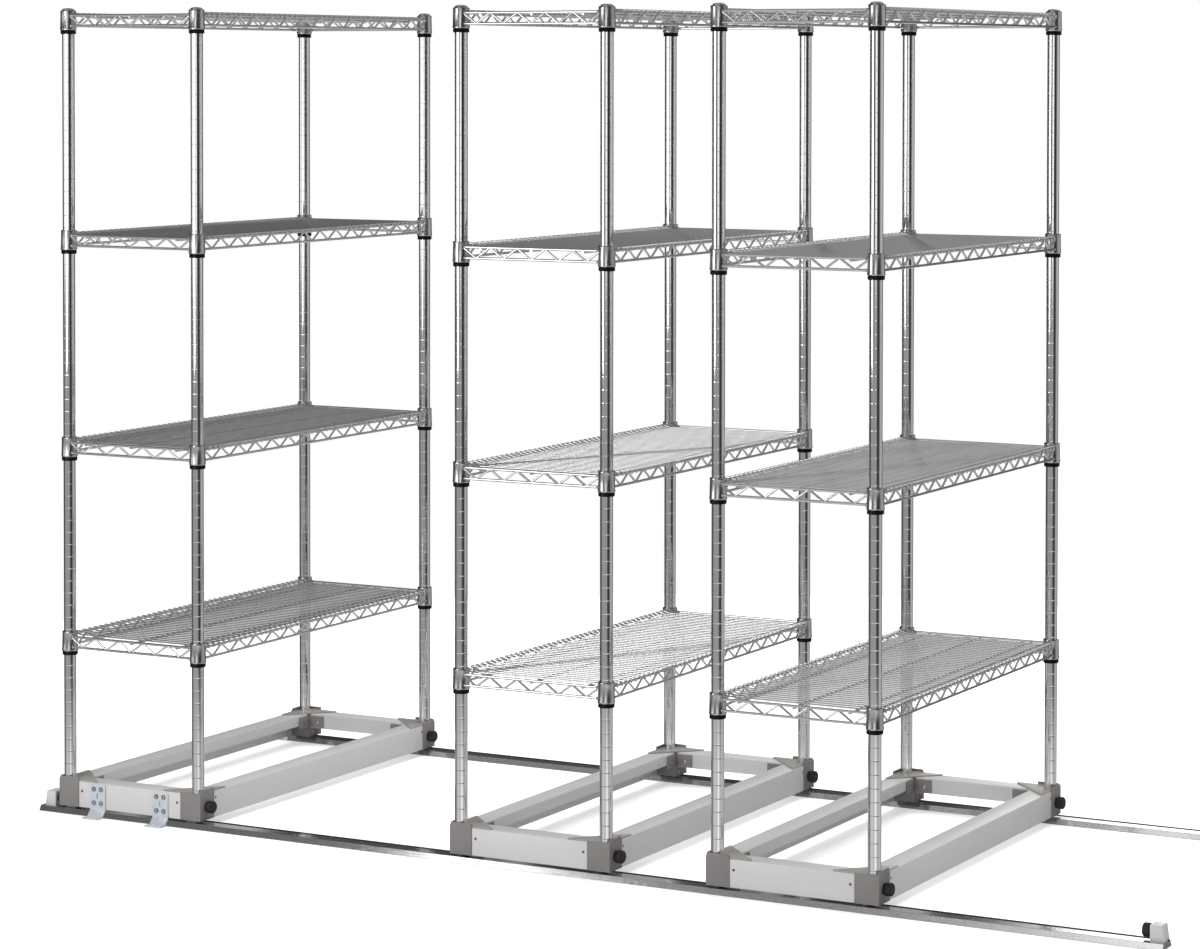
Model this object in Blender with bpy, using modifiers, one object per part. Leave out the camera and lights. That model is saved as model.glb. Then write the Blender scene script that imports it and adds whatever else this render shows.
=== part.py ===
"""Compact mobile shelving: three wire shelving units in a row on two low floor tracks.

The left unit is anchored. The middle and right units roll along the tracks on wheels
hidden in their corner castings. Each unit has four grooved posts, four wire shelves
that grip the posts through tapered sleeves, and a low base frame of channel rails.
"""
import math

import bmesh
import bpy
from mathutils import Matrix, Vector

# Clearances, in metres like every other length
GAP = 0.0003
TRAVEL_CLEARANCE = 0.001
OVERRUN = 0.004

# Layout
POST_PITCH_X = 0.325
POST_PITCH_Y = 0.879
AISLE = 0.579
UNIT_GAP = 0.190
FREE_TRAVEL = 0.488

# Floor tracks
TRACK_WIDTH = 0.048
TRACK_TOP_WIDTH = 0.036
TRACK_HEIGHT = 0.011
GROOVE_WIDTH = 0.004
GROOVE_DEPTH = 0.002

# End stops
STOP_BASE_LENGTH = 0.028
STOP_TOP_LENGTH = 0.022
STOP_INSET = 0.002
STOP_LIFT = 0.001
STOP_DEPTH = 0.031
STOP_HEIGHT = 0.040
STOP_BUMPER_HEIGHT = 0.027

# Round rubber bumpers
BUMPER_RADIUS = 0.0125
BUMPER_LENGTH = 0.017

# Base frame
GROUND_CLEARANCE = 0.0155
BASE_HEIGHT = 0.054
RAIL_WIDTH = 0.046
RAIL_WALL = 0.003
RAIL_RECESS = 0.001
LONG_RAIL_LIP = 0.023
SHORT_RAIL_LIP = 0.032
CASTING_OUT = 0.0165
CASTING_SIDE = 0.0495
CASTING_WALL = 0.003
CASTING_RISE = 0.008
FACE_CLIP = 0.006
SIDE_CLIP = 0.005
LEG_LENGTH = 0.038
LEG_HEIGHT = 0.027
LEG_RECESS = 0.0005
SOCKET_FLOOR = 0.003
GUSSET_REACH = 0.078
GUSSET_THICKNESS = 0.0024
FOOT_SIDE = 0.024

# Wheels
WHEEL_RADIUS = 0.018
WHEEL_WIDTH = 0.012
AXLE_RADIUS = 0.004
WHEEL_CLEARANCE = 0.002

# Anchor brackets of the left unit
BRACKET_WIDTH = 0.039
BRACKET_THICKNESS = 0.0025
BRACKET_SPREAD = 0.159
BRACKET_TOP_MARGIN = 0.002
BRACKET_FOOT_LENGTH = 0.022

# Posts, whose grooves set the heights of the shelves
POST_RADIUS = 0.0127
GROOVE_PITCH = 0.0254
LOWEST_SHELF_RISE = 0.263
SHELF_GROOVES = (0, 16, 33, 51)
POST_ABOVE_TOP_SLEEVE = 0.005
CAP_RISE = 0.003
CAP_TOP_SHARE = 0.6

# Tapered sleeves and the collars that sit on them
SLEEVE_RADIUS = 0.015
SLEEVE_SHOWN = 0.0055
COLLAR_HEIGHT = 0.041
COLLAR_WALL = 0.0018

# Wire shelves
WIRE_OUT = 0.0085
FRAME_WIRE = 0.004
TRUSS_TOP_DROP = 0.005
TRUSS_HEIGHT = 0.0295
TRUSS_TOP_CHORD = 0.0075
TRUSS_LOW_CHORD = 0.0045
MAT_DROP = 0.0085
MAT_THICKNESS = 0.0035
MAT_BAR_WIDTH = 0.006
MAT_BAR_PITCH = 0.11
WEB_WIDTH = 0.006
LONG_WINDOW_PITCH = 0.167
SHORT_WINDOW_PITCH = 0.070

# Counts
POST_SIDES = 8
WHEEL_SIDES = 10
BUMPER_SIDES = 8
UNIT_NAMES = ("unit_1", "unit_2", "unit_3")
CORNERS = (
    ("front_left", -1, -1),
    ("front_right", 1, -1),
    ("rear_left", -1, 1),
    ("rear_right", 1, 1),
)

# Heights worked out from the sizes above
RAIL_TOP = GROUND_CLEARANCE + BASE_HEIGHT
RAIL_OUT = CASTING_OUT - RAIL_RECESS
WALL_TOP = RAIL_TOP + CASTING_RISE
AXLE_HEIGHT = TRACK_HEIGHT + GAP + WHEEL_RADIUS
POCKET_TOP = AXLE_HEIGHT + WHEEL_RADIUS + WHEEL_CLEARANCE
POST_BOTTOM = POCKET_TOP + SOCKET_FLOOR + GAP
BUMPER_HEIGHT = GROUND_CLEARANCE + BASE_HEIGHT / 2
SLEEVE_HEIGHTS = tuple(RAIL_TOP + LOWEST_SHELF_RISE + count * GROOVE_PITCH for count in SHELF_GROOVES)
SLEEVE_LENGTH = SLEEVE_SHOWN + GAP + COLLAR_HEIGHT
POST_TOP = SLEEVE_HEIGHTS[-1] + SLEEVE_LENGTH + POST_ABOVE_TOP_SLEEVE
COLLAR_RADIUS = SLEEVE_RADIUS + COLLAR_WALL
CASTING_CENTRE = CASTING_SIDE / 2 - CASTING_OUT

# Places along the tracks, counted from their left end and then from their middle
STOP_LENGTH = STOP_INSET + STOP_BASE_LENGTH + BUMPER_LENGTH
UNIT_WIDTH = POST_PITCH_X + 2 * CASTING_OUT
FIRST_UNIT_LEFT = STOP_LENGTH + GAP
SECOND_UNIT_LEFT = FIRST_UNIT_LEFT + UNIT_WIDTH + BUMPER_LENGTH + AISLE
THIRD_UNIT_LEFT = SECOND_UNIT_LEFT + UNIT_WIDTH + BUMPER_LENGTH + UNIT_GAP
TRACK_LENGTH = THIRD_UNIT_LEFT + UNIT_WIDTH + BUMPER_LENGTH + FREE_TRAVEL + STOP_LENGTH
UNIT_LEFTS = (FIRST_UNIT_LEFT, SECOND_UNIT_LEFT, THIRD_UNIT_LEFT)

# Places across the tracks, with the middle of the whole object at zero
FRONT_REACH = TRACK_WIDTH / 2 + 2 * GAP + BRACKET_FOOT_LENGTH
REAR_REACH = max(TRACK_WIDTH / 2, CASTING_OUT, COLLAR_RADIUS)
ROW_MIDDLE_Y = (FRONT_REACH - REAR_REACH) / 2


def clear_scene():
    """Removes the objects of the start-up scene."""
    for item in list(bpy.data.objects):
        bpy.data.objects.remove(item)


def new_collection(name):
    """A collection linked to the scene."""
    collection = bpy.data.collections.new(name)
    bpy.context.scene.collection.children.link(collection)
    return collection


def surface(name, colour, roughness, metallic):
    """A plain Principled material."""
    material = bpy.data.materials.new(name)
    material.use_nodes = True
    shader = material.node_tree.nodes["Principled BSDF"]
    shader.inputs["Base Color"].default_value = (*colour, 1)
    shader.inputs["Roughness"].default_value = roughness
    shader.inputs["Metallic"].default_value = metallic
    material.diffuse_color = (*colour, 1)
    return material


def mesh_object(name, mesh):
    """A working object, linked to the scene so that it can be evaluated."""
    item = bpy.data.objects.new(name, mesh)
    bpy.context.scene.collection.objects.link(item)
    return item


def evaluated_mesh(item, weld=False):
    """A plain mesh of the object as it is evaluated. The working object is removed."""
    graph = bpy.context.evaluated_depsgraph_get()
    mesh = bpy.data.meshes.new_from_object(item.evaluated_get(graph))
    mesh.transform(item.matrix_world)
    if weld:
        sheet = bmesh.new()
        sheet.from_mesh(mesh)
        bmesh.ops.remove_doubles(sheet, verts=sheet.verts, dist=GAP / 10)
        bmesh.ops.recalc_face_normals(sheet, faces=sheet.faces)
        sheet.to_mesh(mesh)
        sheet.free()
    bpy.data.objects.remove(item)
    mesh.materials.clear()
    return mesh


def box(low, high):
    """A box between two corners, given in any order."""
    shape = bmesh.new()
    bmesh.ops.create_cube(shape, size=1)
    first, second = Vector(low), Vector(high)
    middle = (first + second) / 2
    extent = [abs(value) for value in second - first]
    bmesh.ops.transform(
        shape, matrix=Matrix.Translation(middle) @ Matrix.Diagonal((*extent, 1)), verts=shape.verts
    )
    mesh = bpy.data.meshes.new("box")
    shape.to_mesh(mesh)
    shape.free()
    return mesh_object("box", mesh)


def half_side_turn(sides):
    """A turn about Z that puts a round piece's flats, not its edges, on the X and Y axes."""
    return Matrix.Rotation(math.pi / sides, 4, "Z")


def cylinder(centre, axis, radius, length, sides, end_radius=None):
    """A cylinder or cone about a centre. Its second radius is at the far end of the axis."""
    shape = bmesh.new()
    bmesh.ops.create_cone(
        shape,
        cap_ends=True,
        segments=sides,
        radius1=radius,
        radius2=radius if end_radius is None else end_radius,
        depth=length,
    )
    turn = Vector((0, 0, 1)).rotation_difference(Vector(axis)).to_matrix().to_4x4()
    place = Matrix.Translation(centre) @ turn @ half_side_turn(sides)
    bmesh.ops.transform(shape, matrix=place, verts=shape.verts)
    mesh = bpy.data.meshes.new("cylinder")
    shape.to_mesh(mesh)
    shape.free()
    return mesh_object("cylinder", mesh)


def turned(profile, sides):
    """A solid turned about Z from points (radius, height) that run down its outer side."""
    shape = bmesh.new()
    points = [shape.verts.new((radius, 0, height)) for radius, height in profile]
    on_axis = profile[0][0] == 0 and profile[-1][0] == 0
    pairs = zip(points, points[1:] if on_axis else points[1:] + points[:1])
    for start, end in pairs:
        shape.edges.new((start, end))
    mesh = bpy.data.meshes.new("turned")
    shape.to_mesh(mesh)
    shape.free()
    item = mesh_object("turned", mesh)
    screw = item.modifiers.new("turn", "SCREW")
    screw.steps = sides
    screw.render_steps = sides
    screw.use_merge_vertices = True
    screw.merge_threshold = GAP / 10
    item.matrix_world = half_side_turn(sides)
    bpy.context.view_layer.update()
    return mesh_object("turned", evaluated_mesh(item))


def extruded(outline, length, to_world):
    """A flat outline of (x, y) points given a length along Z, half each way, then placed."""
    curve = bpy.data.curves.new("outline", "CURVE")
    curve.dimensions = "2D"
    curve.fill_mode = "BOTH"
    curve.extrude = length / 2
    spline = curve.splines.new("POLY")
    spline.points.add(len(outline) - 1)
    for point, (x, y) in zip(spline.points, outline):
        point.co = (x, y, 0, 1)
    spline.use_cyclic_u = True
    item = mesh_object("outline", curve)
    item.matrix_world = to_world
    bpy.context.view_layer.update()
    return mesh_object("extruded", evaluated_mesh(item, weld=True))


def combined(target, others, operation, cutters):
    """The target after Boolean steps with other shapes, which end in the cutters' collection."""
    for other in others:
        bpy.context.scene.collection.objects.unlink(other)
        cutters.objects.link(other)
        other.hide_render = True
        other.display_type = "WIRE"
        step = target.modifiers.new(operation.lower(), "BOOLEAN")
        step.operation = operation
        step.solver = "EXACT"
        step.object = other
    bpy.context.view_layer.update()
    return mesh_object("combined", evaluated_mesh(target))


def node(name, mesh, material, collection, place, parent=None, round_piece=False):
    """A finished sub-part under its own name, placed and parented."""
    item = bpy.data.objects.new(name, mesh)
    collection.objects.link(item)
    if not mesh.materials:
        mesh.materials.append(material)
    if round_piece:
        mesh.shade_smooth()
        mesh.set_sharp_from_angle(angle=math.radians(50))
    item.location = place
    if parent:
        item.parent = parent
    return item


def taken(item):
    """The mesh of a working object, which is removed."""
    mesh = item.data
    bpy.data.objects.remove(item)
    return mesh


def axes(x_axis, y_axis, z_axis, place):
    """A placing matrix from where the outline's own axes go."""
    turn = Matrix((x_axis, y_axis, z_axis)).transposed().to_4x4()
    return Matrix.Translation(place) @ turn


def grown(radius):
    """The corner radius of a bore that clears a polygon of this corner radius by the gap."""
    return radius + GAP / math.cos(math.pi / POST_SIDES)


def sleeve_radius(rise):
    """The sleeve's radius at a rise above its wide lower end: a straight taper to the post."""
    return SLEEVE_RADIUS + (POST_RADIUS - SLEEVE_RADIUS) * rise / SLEEVE_LENGTH


def post_mesh():
    """A post with its cap and the four tapered sleeves, drawn from its foot at zero height."""
    profile = [(0, POST_TOP), (POST_RADIUS * CAP_TOP_SHARE, POST_TOP), (POST_RADIUS, POST_TOP - CAP_RISE)]
    for height in reversed(SLEEVE_HEIGHTS):
        profile += [(POST_RADIUS, height + SLEEVE_LENGTH), (SLEEVE_RADIUS, height), (POST_RADIUS, height)]
    profile += [(POST_RADIUS, POST_BOTTOM), (0, POST_BOTTOM)]
    return taken(turned(profile, POST_SIDES))


def zigzag_windows(pitch, post_pitch, cut_length, to_world):
    """Cutters for the alternate triangular windows between a zigzag truss's two wires."""
    high = COLLAR_HEIGHT - TRUSS_TOP_DROP - TRUSS_TOP_CHORD
    low = COLLAR_HEIGHT - TRUSS_TOP_DROP - TRUSS_HEIGHT + TRUSS_LOW_CHORD
    first = COLLAR_RADIUS + WEB_WIDTH
    clear = post_pitch - 2 * first
    halves = max(2, round(clear / pitch))
    half = clear / halves
    windows = []
    for index in range(1, halves):
        middle = first + index * half
        base, tip = (low, high) if index % 2 else (high, low)
        outline = [(middle - half + WEB_WIDTH, base), (middle + half - WEB_WIDTH, base), (middle, tip)]
        windows.append(extruded(outline, cut_length, to_world))
    return windows


def shelf_mesh(cutters):
    """A wire shelf, from the lower ends of its collars, with its front left post at zero."""
    corners = [(x, y) for x in (0, POST_PITCH_X) for y in (0, POST_PITCH_Y)]
    truss_top = COLLAR_HEIGHT - TRUSS_TOP_DROP
    truss_low = truss_top - TRUSS_HEIGHT
    mat_top = COLLAR_HEIGHT - MAT_DROP
    frame_out, frame_in = WIRE_OUT + FRAME_WIRE / 2, WIRE_OUT - FRAME_WIRE / 2
    frame = box(
        (-frame_out, -frame_out, truss_low),
        (POST_PITCH_X + frame_out, POST_PITCH_Y + frame_out, truss_top),
    )
    inside = box(
        (-frame_in, -frame_in, truss_low - OVERRUN),
        (POST_PITCH_X + frame_in, POST_PITCH_Y + frame_in, truss_top + OVERRUN),
    )
    along_y = axes((0, 1, 0), (0, 0, 1), (1, 0, 0), (POST_PITCH_X / 2, 0, 0))
    along_x = axes((1, 0, 0), (0, 0, 1), (0, -1, 0), (0, POST_PITCH_Y / 2, 0))
    through = 2 * (frame_out + OVERRUN)
    windows = zigzag_windows(LONG_WINDOW_PITCH, POST_PITCH_Y, POST_PITCH_X + through, along_y)
    windows += zigzag_windows(SHORT_WINDOW_PITCH, POST_PITCH_X, POST_PITCH_Y + through, along_x)
    frame = combined(frame, [inside] + windows, "DIFFERENCE", cutters)

    spaces = max(2, round(POST_PITCH_Y / MAT_BAR_PITCH))
    bars = []
    for index in range(1, spaces):
        middle = index * POST_PITCH_Y / spaces
        bar_low = (-WIRE_OUT, middle - MAT_BAR_WIDTH / 2, mat_top - MAT_THICKNESS)
        bars.append(box(bar_low, (POST_PITCH_X + WIRE_OUT, middle + MAT_BAR_WIDTH / 2, mat_top)))
    middle_height = COLLAR_HEIGHT / 2
    collars = [
        cylinder((x, y, middle_height), (0, 0, 1), COLLAR_RADIUS, COLLAR_HEIGHT, POST_SIDES)
        for x, y in corners
    ]
    shelf = combined(frame, bars + collars, "UNION", cutters)
    rise = SLEEVE_SHOWN + GAP
    bore_low = grown(sleeve_radius(rise - OVERRUN))
    bore_high = grown(sleeve_radius(rise + COLLAR_HEIGHT + OVERRUN))
    bore_length = COLLAR_HEIGHT + 2 * OVERRUN
    bores = [
        cylinder((x, y, middle_height), (0, 0, 1), bore_low, bore_length, POST_SIDES, end_radius=bore_high)
        for x, y in corners
    ]
    return taken(combined(shelf, bores, "DIFFERENCE", cutters))


def bumper(face, side_x, place_y, height):
    """A round rubber bumper that stands out along X from a face at the given X."""
    length = BUMPER_LENGTH + OVERRUN
    place = (face + side_x * (BUMPER_LENGTH - OVERRUN) / 2, place_y, height)
    return cylinder(place, (1, 0, 0), BUMPER_RADIUS, length, BUMPER_SIDES)


def clipped_outline(clip):
    """A casting's side view, with its two top corners cut off."""
    half = CASTING_SIDE / 2
    return [
        (-half, GROUND_CLEARANCE),
        (half, GROUND_CLEARANCE),
        (half, WALL_TOP - clip),
        (half - clip, WALL_TOP),
        (clip - half, WALL_TOP),
        (-half, WALL_TOP - clip),
    ]


def gusset(side_x, side_y, bottom):
    """The flat triangular plate that braces a corner on top of its rails."""
    back = CASTING_WALL / 2 - CASTING_OUT
    outline = [(back, back), (GUSSET_REACH, back), (back, GUSSET_REACH)]
    outline = [(-side_x * x, -side_y * y) for x, y in outline]
    if side_x * side_y < 0:
        outline.reverse()
    return extruded(outline, GUSSET_THICKNESS, Matrix.Translation((0, 0, bottom + GUSSET_THICKNESS / 2)))


def casting_mesh(side_x, side_y, rolling, cutters):
    """A corner casting about its post, whose outer walls face the signs given.

    Both walls stand above the plate, but for the front wall of the front right corner.
    """
    low_front = side_x > 0 > side_y
    out_x, out_y = side_x * CASTING_OUT, side_y * CASTING_OUT
    in_x, in_y = out_x - side_x * CASTING_SIDE, out_y - side_y * CASTING_SIDE
    middle_x, middle_y = -side_x * CASTING_CENTRE, -side_y * CASTING_CENTRE
    over = CASTING_SIDE + 2 * OVERRUN
    along_x = axes((1, 0, 0), (0, 0, 1), (0, -1, 0), (middle_x, middle_y, 0))
    along_y = axes((0, 1, 0), (0, 0, 1), (1, 0, 0), (middle_x, middle_y, 0))
    body = extruded(clipped_outline(FACE_CLIP), over, along_x)
    across = extruded(clipped_outline(SIDE_CLIP), over, along_y)
    body = combined(body, [across], "INTERSECT", cutters)

    inner_x, inner_y = out_x - side_x * CASTING_WALL, out_y - side_y * CASTING_WALL
    past_x, past_y = in_x - side_x * OVERRUN, in_y - side_y * OVERRUN
    if low_front:
        inner_y = out_y + side_y * OVERRUN
    plate_bottom = RAIL_TOP + GAP
    recess_low = (inner_x, inner_y, plate_bottom + GUSSET_THICKNESS / 2)
    recess = box(recess_low, (past_x, past_y, WALL_TOP + OVERRUN))
    body = combined(body, [recess], "DIFFERENCE", cutters)

    leg_top = RAIL_TOP - RAIL_WALL - GAP
    leg_low, leg_outer = leg_top - LEG_HEIGHT, LEG_RECESS
    leg_inner = CASTING_SIDE - CASTING_OUT - (RAIL_WIDTH - RAIL_OUT + GAP)
    leg_x = box(
        (in_x + side_x * OVERRUN, in_y + side_y * leg_outer, leg_low),
        (in_x - side_x * LEG_LENGTH, in_y + side_y * leg_inner, leg_top),
    )
    leg_y = box(
        (in_x + side_x * leg_outer, in_y + side_y * OVERRUN, leg_low),
        (in_x + side_x * leg_inner, in_y - side_y * LEG_LENGTH, leg_top),
    )
    added = [leg_x, leg_y, gusset(side_x, side_y, plate_bottom)]
    if side_x > 0:
        added.append(bumper(out_x, 1, middle_y, BUMPER_HEIGHT))
    if not rolling:
        half_foot = FOOT_SIDE / 2
        foot_low = (middle_x - half_foot, -half_foot, TRACK_HEIGHT + GAP)
        added.append(box(foot_low, (middle_x + half_foot, half_foot, GROUND_CLEARANCE + OVERRUN)))
    body = combined(body, added, "UNION", cutters)

    bore_top, bore_bottom = WALL_TOP + OVERRUN, POST_BOTTOM - GAP
    bore_place = (0, 0, (bore_top + bore_bottom) / 2)
    bore = cylinder(bore_place, (0, 0, 1), grown(POST_RADIUS), bore_top - bore_bottom, POST_SIDES)
    if not rolling:
        return taken(combined(body, [bore], "DIFFERENCE", cutters))
    half_length = WHEEL_RADIUS + WHEEL_CLEARANCE
    half_width = WHEEL_WIDTH / 2 + GAP
    pocket = box(
        (middle_x - half_length, -half_width, GROUND_CLEARANCE - OVERRUN),
        (middle_x + half_length, half_width, POCKET_TOP),
    )
    body = combined(body, [bore, pocket], "DIFFERENCE", cutters)
    axle = cylinder(
        (middle_x, 0, AXLE_HEIGHT), (0, 1, 0), AXLE_RADIUS, WHEEL_WIDTH + 2 * OVERRUN, POST_SIDES
    )
    return taken(combined(body, [axle], "UNION", cutters))


def wheel_mesh():
    """A wheel about its own axle, which lies along Y."""
    half = WHEEL_WIDTH / 2
    bore = AXLE_RADIUS + GAP / math.cos(math.pi / WHEEL_SIDES)
    profile = [(WHEEL_RADIUS, half), (WHEEL_RADIUS, -half), (bore, -half), (bore, half)]
    mesh = taken(turned(profile, WHEEL_SIDES))
    mesh.transform(Matrix.Rotation(math.radians(-90), 4, "X"))
    return mesh


def rail_mesh(length, outer_drop, inner_drop):
    """A channel rail that runs along its own Z, with its outer wall at zero and its top at zero."""
    outline = [
        (0, 0),
        (RAIL_WIDTH, 0),
        (RAIL_WIDTH, -inner_drop),
        (RAIL_WIDTH - RAIL_WALL, -inner_drop),
        (RAIL_WIDTH - RAIL_WALL, -RAIL_WALL),
        (RAIL_WALL, -RAIL_WALL),
        (RAIL_WALL, -outer_drop),
        (0, -outer_drop),
    ]
    return taken(extruded(outline, length, Matrix()))


def bracket_mesh():
    """An anchor bracket, seen from its post line: a plate that steps over the track to a foot."""
    rear, front = -(RAIL_OUT + GAP), -(RAIL_OUT + GAP + BRACKET_THICKNESS)
    shoulder = -(TRACK_TOP_WIDTH / 2 + 2 * GAP)
    toe = -(TRACK_WIDTH / 2 + 2 * GAP)
    bend = TRACK_HEIGHT + GAP
    top = RAIL_TOP - BRACKET_TOP_MARGIN
    outline = [
        (rear, top),
        (rear, bend),
        (shoulder, bend),
        (toe, 0),
        (-FRONT_REACH, 0),
        (-FRONT_REACH, BRACKET_THICKNESS),
        (toe - BRACKET_THICKNESS, BRACKET_THICKNESS),
        (front, bend + BRACKET_THICKNESS),
        (front, top),
    ]
    return taken(extruded(outline, BRACKET_WIDTH, axes((0, 1, 0), (0, 0, 1), (1, 0, 0), (0, 0, 0))))


def track_mesh(side_y, cutters):
    """A floor track with an end stop on each end, about its own middle at floor level."""
    half, half_top, half_groove = TRACK_WIDTH / 2, TRACK_TOP_WIDTH / 2, GROOVE_WIDTH / 2
    groove_floor = TRACK_HEIGHT - GROOVE_DEPTH
    outline = [
        (-half, 0),
        (half, 0),
        (half_top, TRACK_HEIGHT),
        (half_groove, TRACK_HEIGHT),
        (half_groove, groove_floor),
        (-half_groove, groove_floor),
        (-half_groove, TRACK_HEIGHT),
        (-half_top, TRACK_HEIGHT),
    ]
    track = extruded(outline, TRACK_LENGTH, axes((0, 1, 0), (0, 0, 1), (1, 0, 0), (0, 0, 0)))
    stop_outline = [
        (0, STOP_LIFT),
        (STOP_BASE_LENGTH, STOP_LIFT),
        (STOP_TOP_LENGTH, STOP_HEIGHT),
        (0, STOP_HEIGHT),
    ]
    stop_y = -side_y * CASTING_CENTRE
    added = []
    for side_x in (-1, 1):
        face = side_x * (TRACK_LENGTH / 2 - STOP_INSET - STOP_BASE_LENGTH)
        place = axes((side_x, 0, 0), (0, 0, 1), (0, -side_x, 0), (face, stop_y, 0))
        added.append(extruded(stop_outline, STOP_DEPTH, place))
        added.append(bumper(face, -side_x, stop_y, STOP_BUMPER_HEIGHT))
    return taken(combined(track, added, "UNION", cutters))


def main():
    clear_scene()
    parts = new_collection("compact_mobile_shelving")
    cutters = new_collection("cutters")

    chrome = surface("chrome", (0.62, 0.63, 0.64), 0.18, 1.0)
    wire = surface("chrome_wire", (0.55, 0.56, 0.57), 0.25, 1.0)
    rail_grey = surface("rail_aluminium", (0.60, 0.60, 0.59), 0.45, 0.3)
    casting_grey = surface("casting", (0.22, 0.20, 0.19), 0.6, 0.0)
    zinc = surface("zinc", (0.56, 0.60, 0.64), 0.35, 0.8)
    track_grey = surface("track", (0.50, 0.50, 0.49), 0.5, 0.4)
    rubber = surface("wheel", (0.05, 0.05, 0.05), 0.7, 0.0)

    front_y = ROW_MIDDLE_Y - POST_PITCH_Y / 2
    post = post_mesh()
    shelf = shelf_mesh(cutters)
    wheel = wheel_mesh()
    long_rail_length = POST_PITCH_Y - 2 * (CASTING_SIDE - CASTING_OUT + GAP)
    short_rail_length = POST_PITCH_X - 2 * (CASTING_SIDE - CASTING_OUT + GAP)
    long_rail = rail_mesh(long_rail_length, BASE_HEIGHT, LONG_RAIL_LIP)
    front_rail = rail_mesh(short_rail_length, BASE_HEIGHT, SHORT_RAIL_LIP)
    rear_rail = rail_mesh(short_rail_length, SHORT_RAIL_LIP, SHORT_RAIL_LIP)

    for end_name, side_y in (("front", -1), ("rear", 1)):
        place = (0, ROW_MIDDLE_Y + side_y * POST_PITCH_Y / 2, 0)
        node(f"track_{end_name}", track_mesh(side_y, cutters), track_grey, parts, place)

    for unit_name, left in zip(UNIT_NAMES, UNIT_LEFTS):
        rolling = unit_name != UNIT_NAMES[0]
        first_post_x = left + CASTING_OUT - TRACK_LENGTH / 2
        unit = bpy.data.objects.new(unit_name, None)
        parts.objects.link(unit)
        unit.location = (first_post_x, front_y, 0)

        for level, height in enumerate(SLEEVE_HEIGHTS, start=1):
            place = (0, 0, height + SLEEVE_SHOWN + GAP)
            node(f"{unit_name}_shelf_{level}", shelf, wire, parts, place, unit)

        for corner, side_x, side_y in CORNERS:
            place = (POST_PITCH_X * (side_x > 0), POST_PITCH_Y * (side_y > 0), 0)
            node(f"{unit_name}_post_{corner}", post, chrome, parts, place, unit, round_piece=True)
            casting = casting_mesh(side_x, side_y, rolling, cutters)
            node(f"{unit_name}_casting_{corner}", casting, casting_grey, parts, place, unit)
            if rolling:
                middle = Vector(place) + Vector((-side_x * CASTING_CENTRE, 0, AXLE_HEIGHT))
                node(f"{unit_name}_wheel_{corner}", wheel, rubber, parts, middle, unit, round_piece=True)

        middle_x, middle_y = POST_PITCH_X / 2, POST_PITCH_Y / 2
        left_rail = node(
            f"{unit_name}_rail_left", long_rail, rail_grey, parts, (-RAIL_OUT, middle_y, RAIL_TOP), unit
        )
        left_rail.rotation_euler = (math.radians(90), 0, 0)
        right_rail = node(
            f"{unit_name}_rail_right",
            long_rail,
            rail_grey,
            parts,
            (POST_PITCH_X + RAIL_OUT, middle_y, RAIL_TOP),
            unit,
        )
        right_rail.rotation_euler = (math.radians(90), 0, math.radians(180))
        front = node(
            f"{unit_name}_rail_front", front_rail, rail_grey, parts, (middle_x, -RAIL_OUT, RAIL_TOP), unit
        )
        front.rotation_euler = (math.radians(90), 0, math.radians(90))
        rear = node(
            f"{unit_name}_rail_rear",
            rear_rail,
            rail_grey,
            parts,
            (middle_x, POST_PITCH_Y + RAIL_OUT, RAIL_TOP),
            unit,
        )
        rear.rotation_euler = (math.radians(90), 0, math.radians(-90))

        if not rolling:
            bracket = bracket_mesh()
            for side_name, side_x in (("left", -1), ("right", 1)):
                place = (middle_x + side_x * BRACKET_SPREAD / 2, 0, 0)
                node(f"{unit_name}_bracket_{side_name}", bracket, zinc, parts, place, unit)


main()
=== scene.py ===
# %% [markdown]
# # Compact mobile shelving, dressed for the camera
# Three wire shelving units stand over two floor tracks. The left unit is anchored, and the middle and
# the right one roll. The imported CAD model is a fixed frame: every piece below is placed from its boxes
# and rides on its bodies, so the looks move as the mechanism does.

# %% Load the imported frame
import math

import bmesh
import bpy
from mathutils import Matrix, Vector


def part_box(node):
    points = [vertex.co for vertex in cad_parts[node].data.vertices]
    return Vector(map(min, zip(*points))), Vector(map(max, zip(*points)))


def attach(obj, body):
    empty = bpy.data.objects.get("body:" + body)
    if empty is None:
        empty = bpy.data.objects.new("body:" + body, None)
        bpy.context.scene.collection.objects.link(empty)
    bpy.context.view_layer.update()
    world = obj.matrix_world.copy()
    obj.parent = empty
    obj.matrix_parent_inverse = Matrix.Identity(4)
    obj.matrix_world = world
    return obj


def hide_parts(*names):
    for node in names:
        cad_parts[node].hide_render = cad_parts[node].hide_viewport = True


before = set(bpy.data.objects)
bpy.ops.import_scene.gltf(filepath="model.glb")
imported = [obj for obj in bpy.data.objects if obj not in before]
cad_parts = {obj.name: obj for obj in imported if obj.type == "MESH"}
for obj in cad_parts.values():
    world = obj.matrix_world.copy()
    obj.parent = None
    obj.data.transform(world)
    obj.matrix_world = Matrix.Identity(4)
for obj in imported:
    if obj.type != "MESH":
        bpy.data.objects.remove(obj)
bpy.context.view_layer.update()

# %% [markdown]
# ## Measure the frame
# The posts give the plan of each unit, the rails give the height of the base, and the castings give how far
# the base reaches past the posts. What stands on them is then worked out from these, in metres.

# %% Units, corners and bodies
UNITS = {"unit_1": "anchored_unit", "unit_2": "middle_carriage", "unit_3": "right_carriage"}
CORNERS = {"front_left": (-1, -1), "front_right": (1, -1), "rear_left": (-1, 1), "rear_right": (1, 1)}
SHELVES = (1, 2, 3, 4)


def node_box(name):
    """A node's lowest and highest corners, as vectors."""
    low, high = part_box(name)
    return Vector(low), Vector(high)


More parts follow.
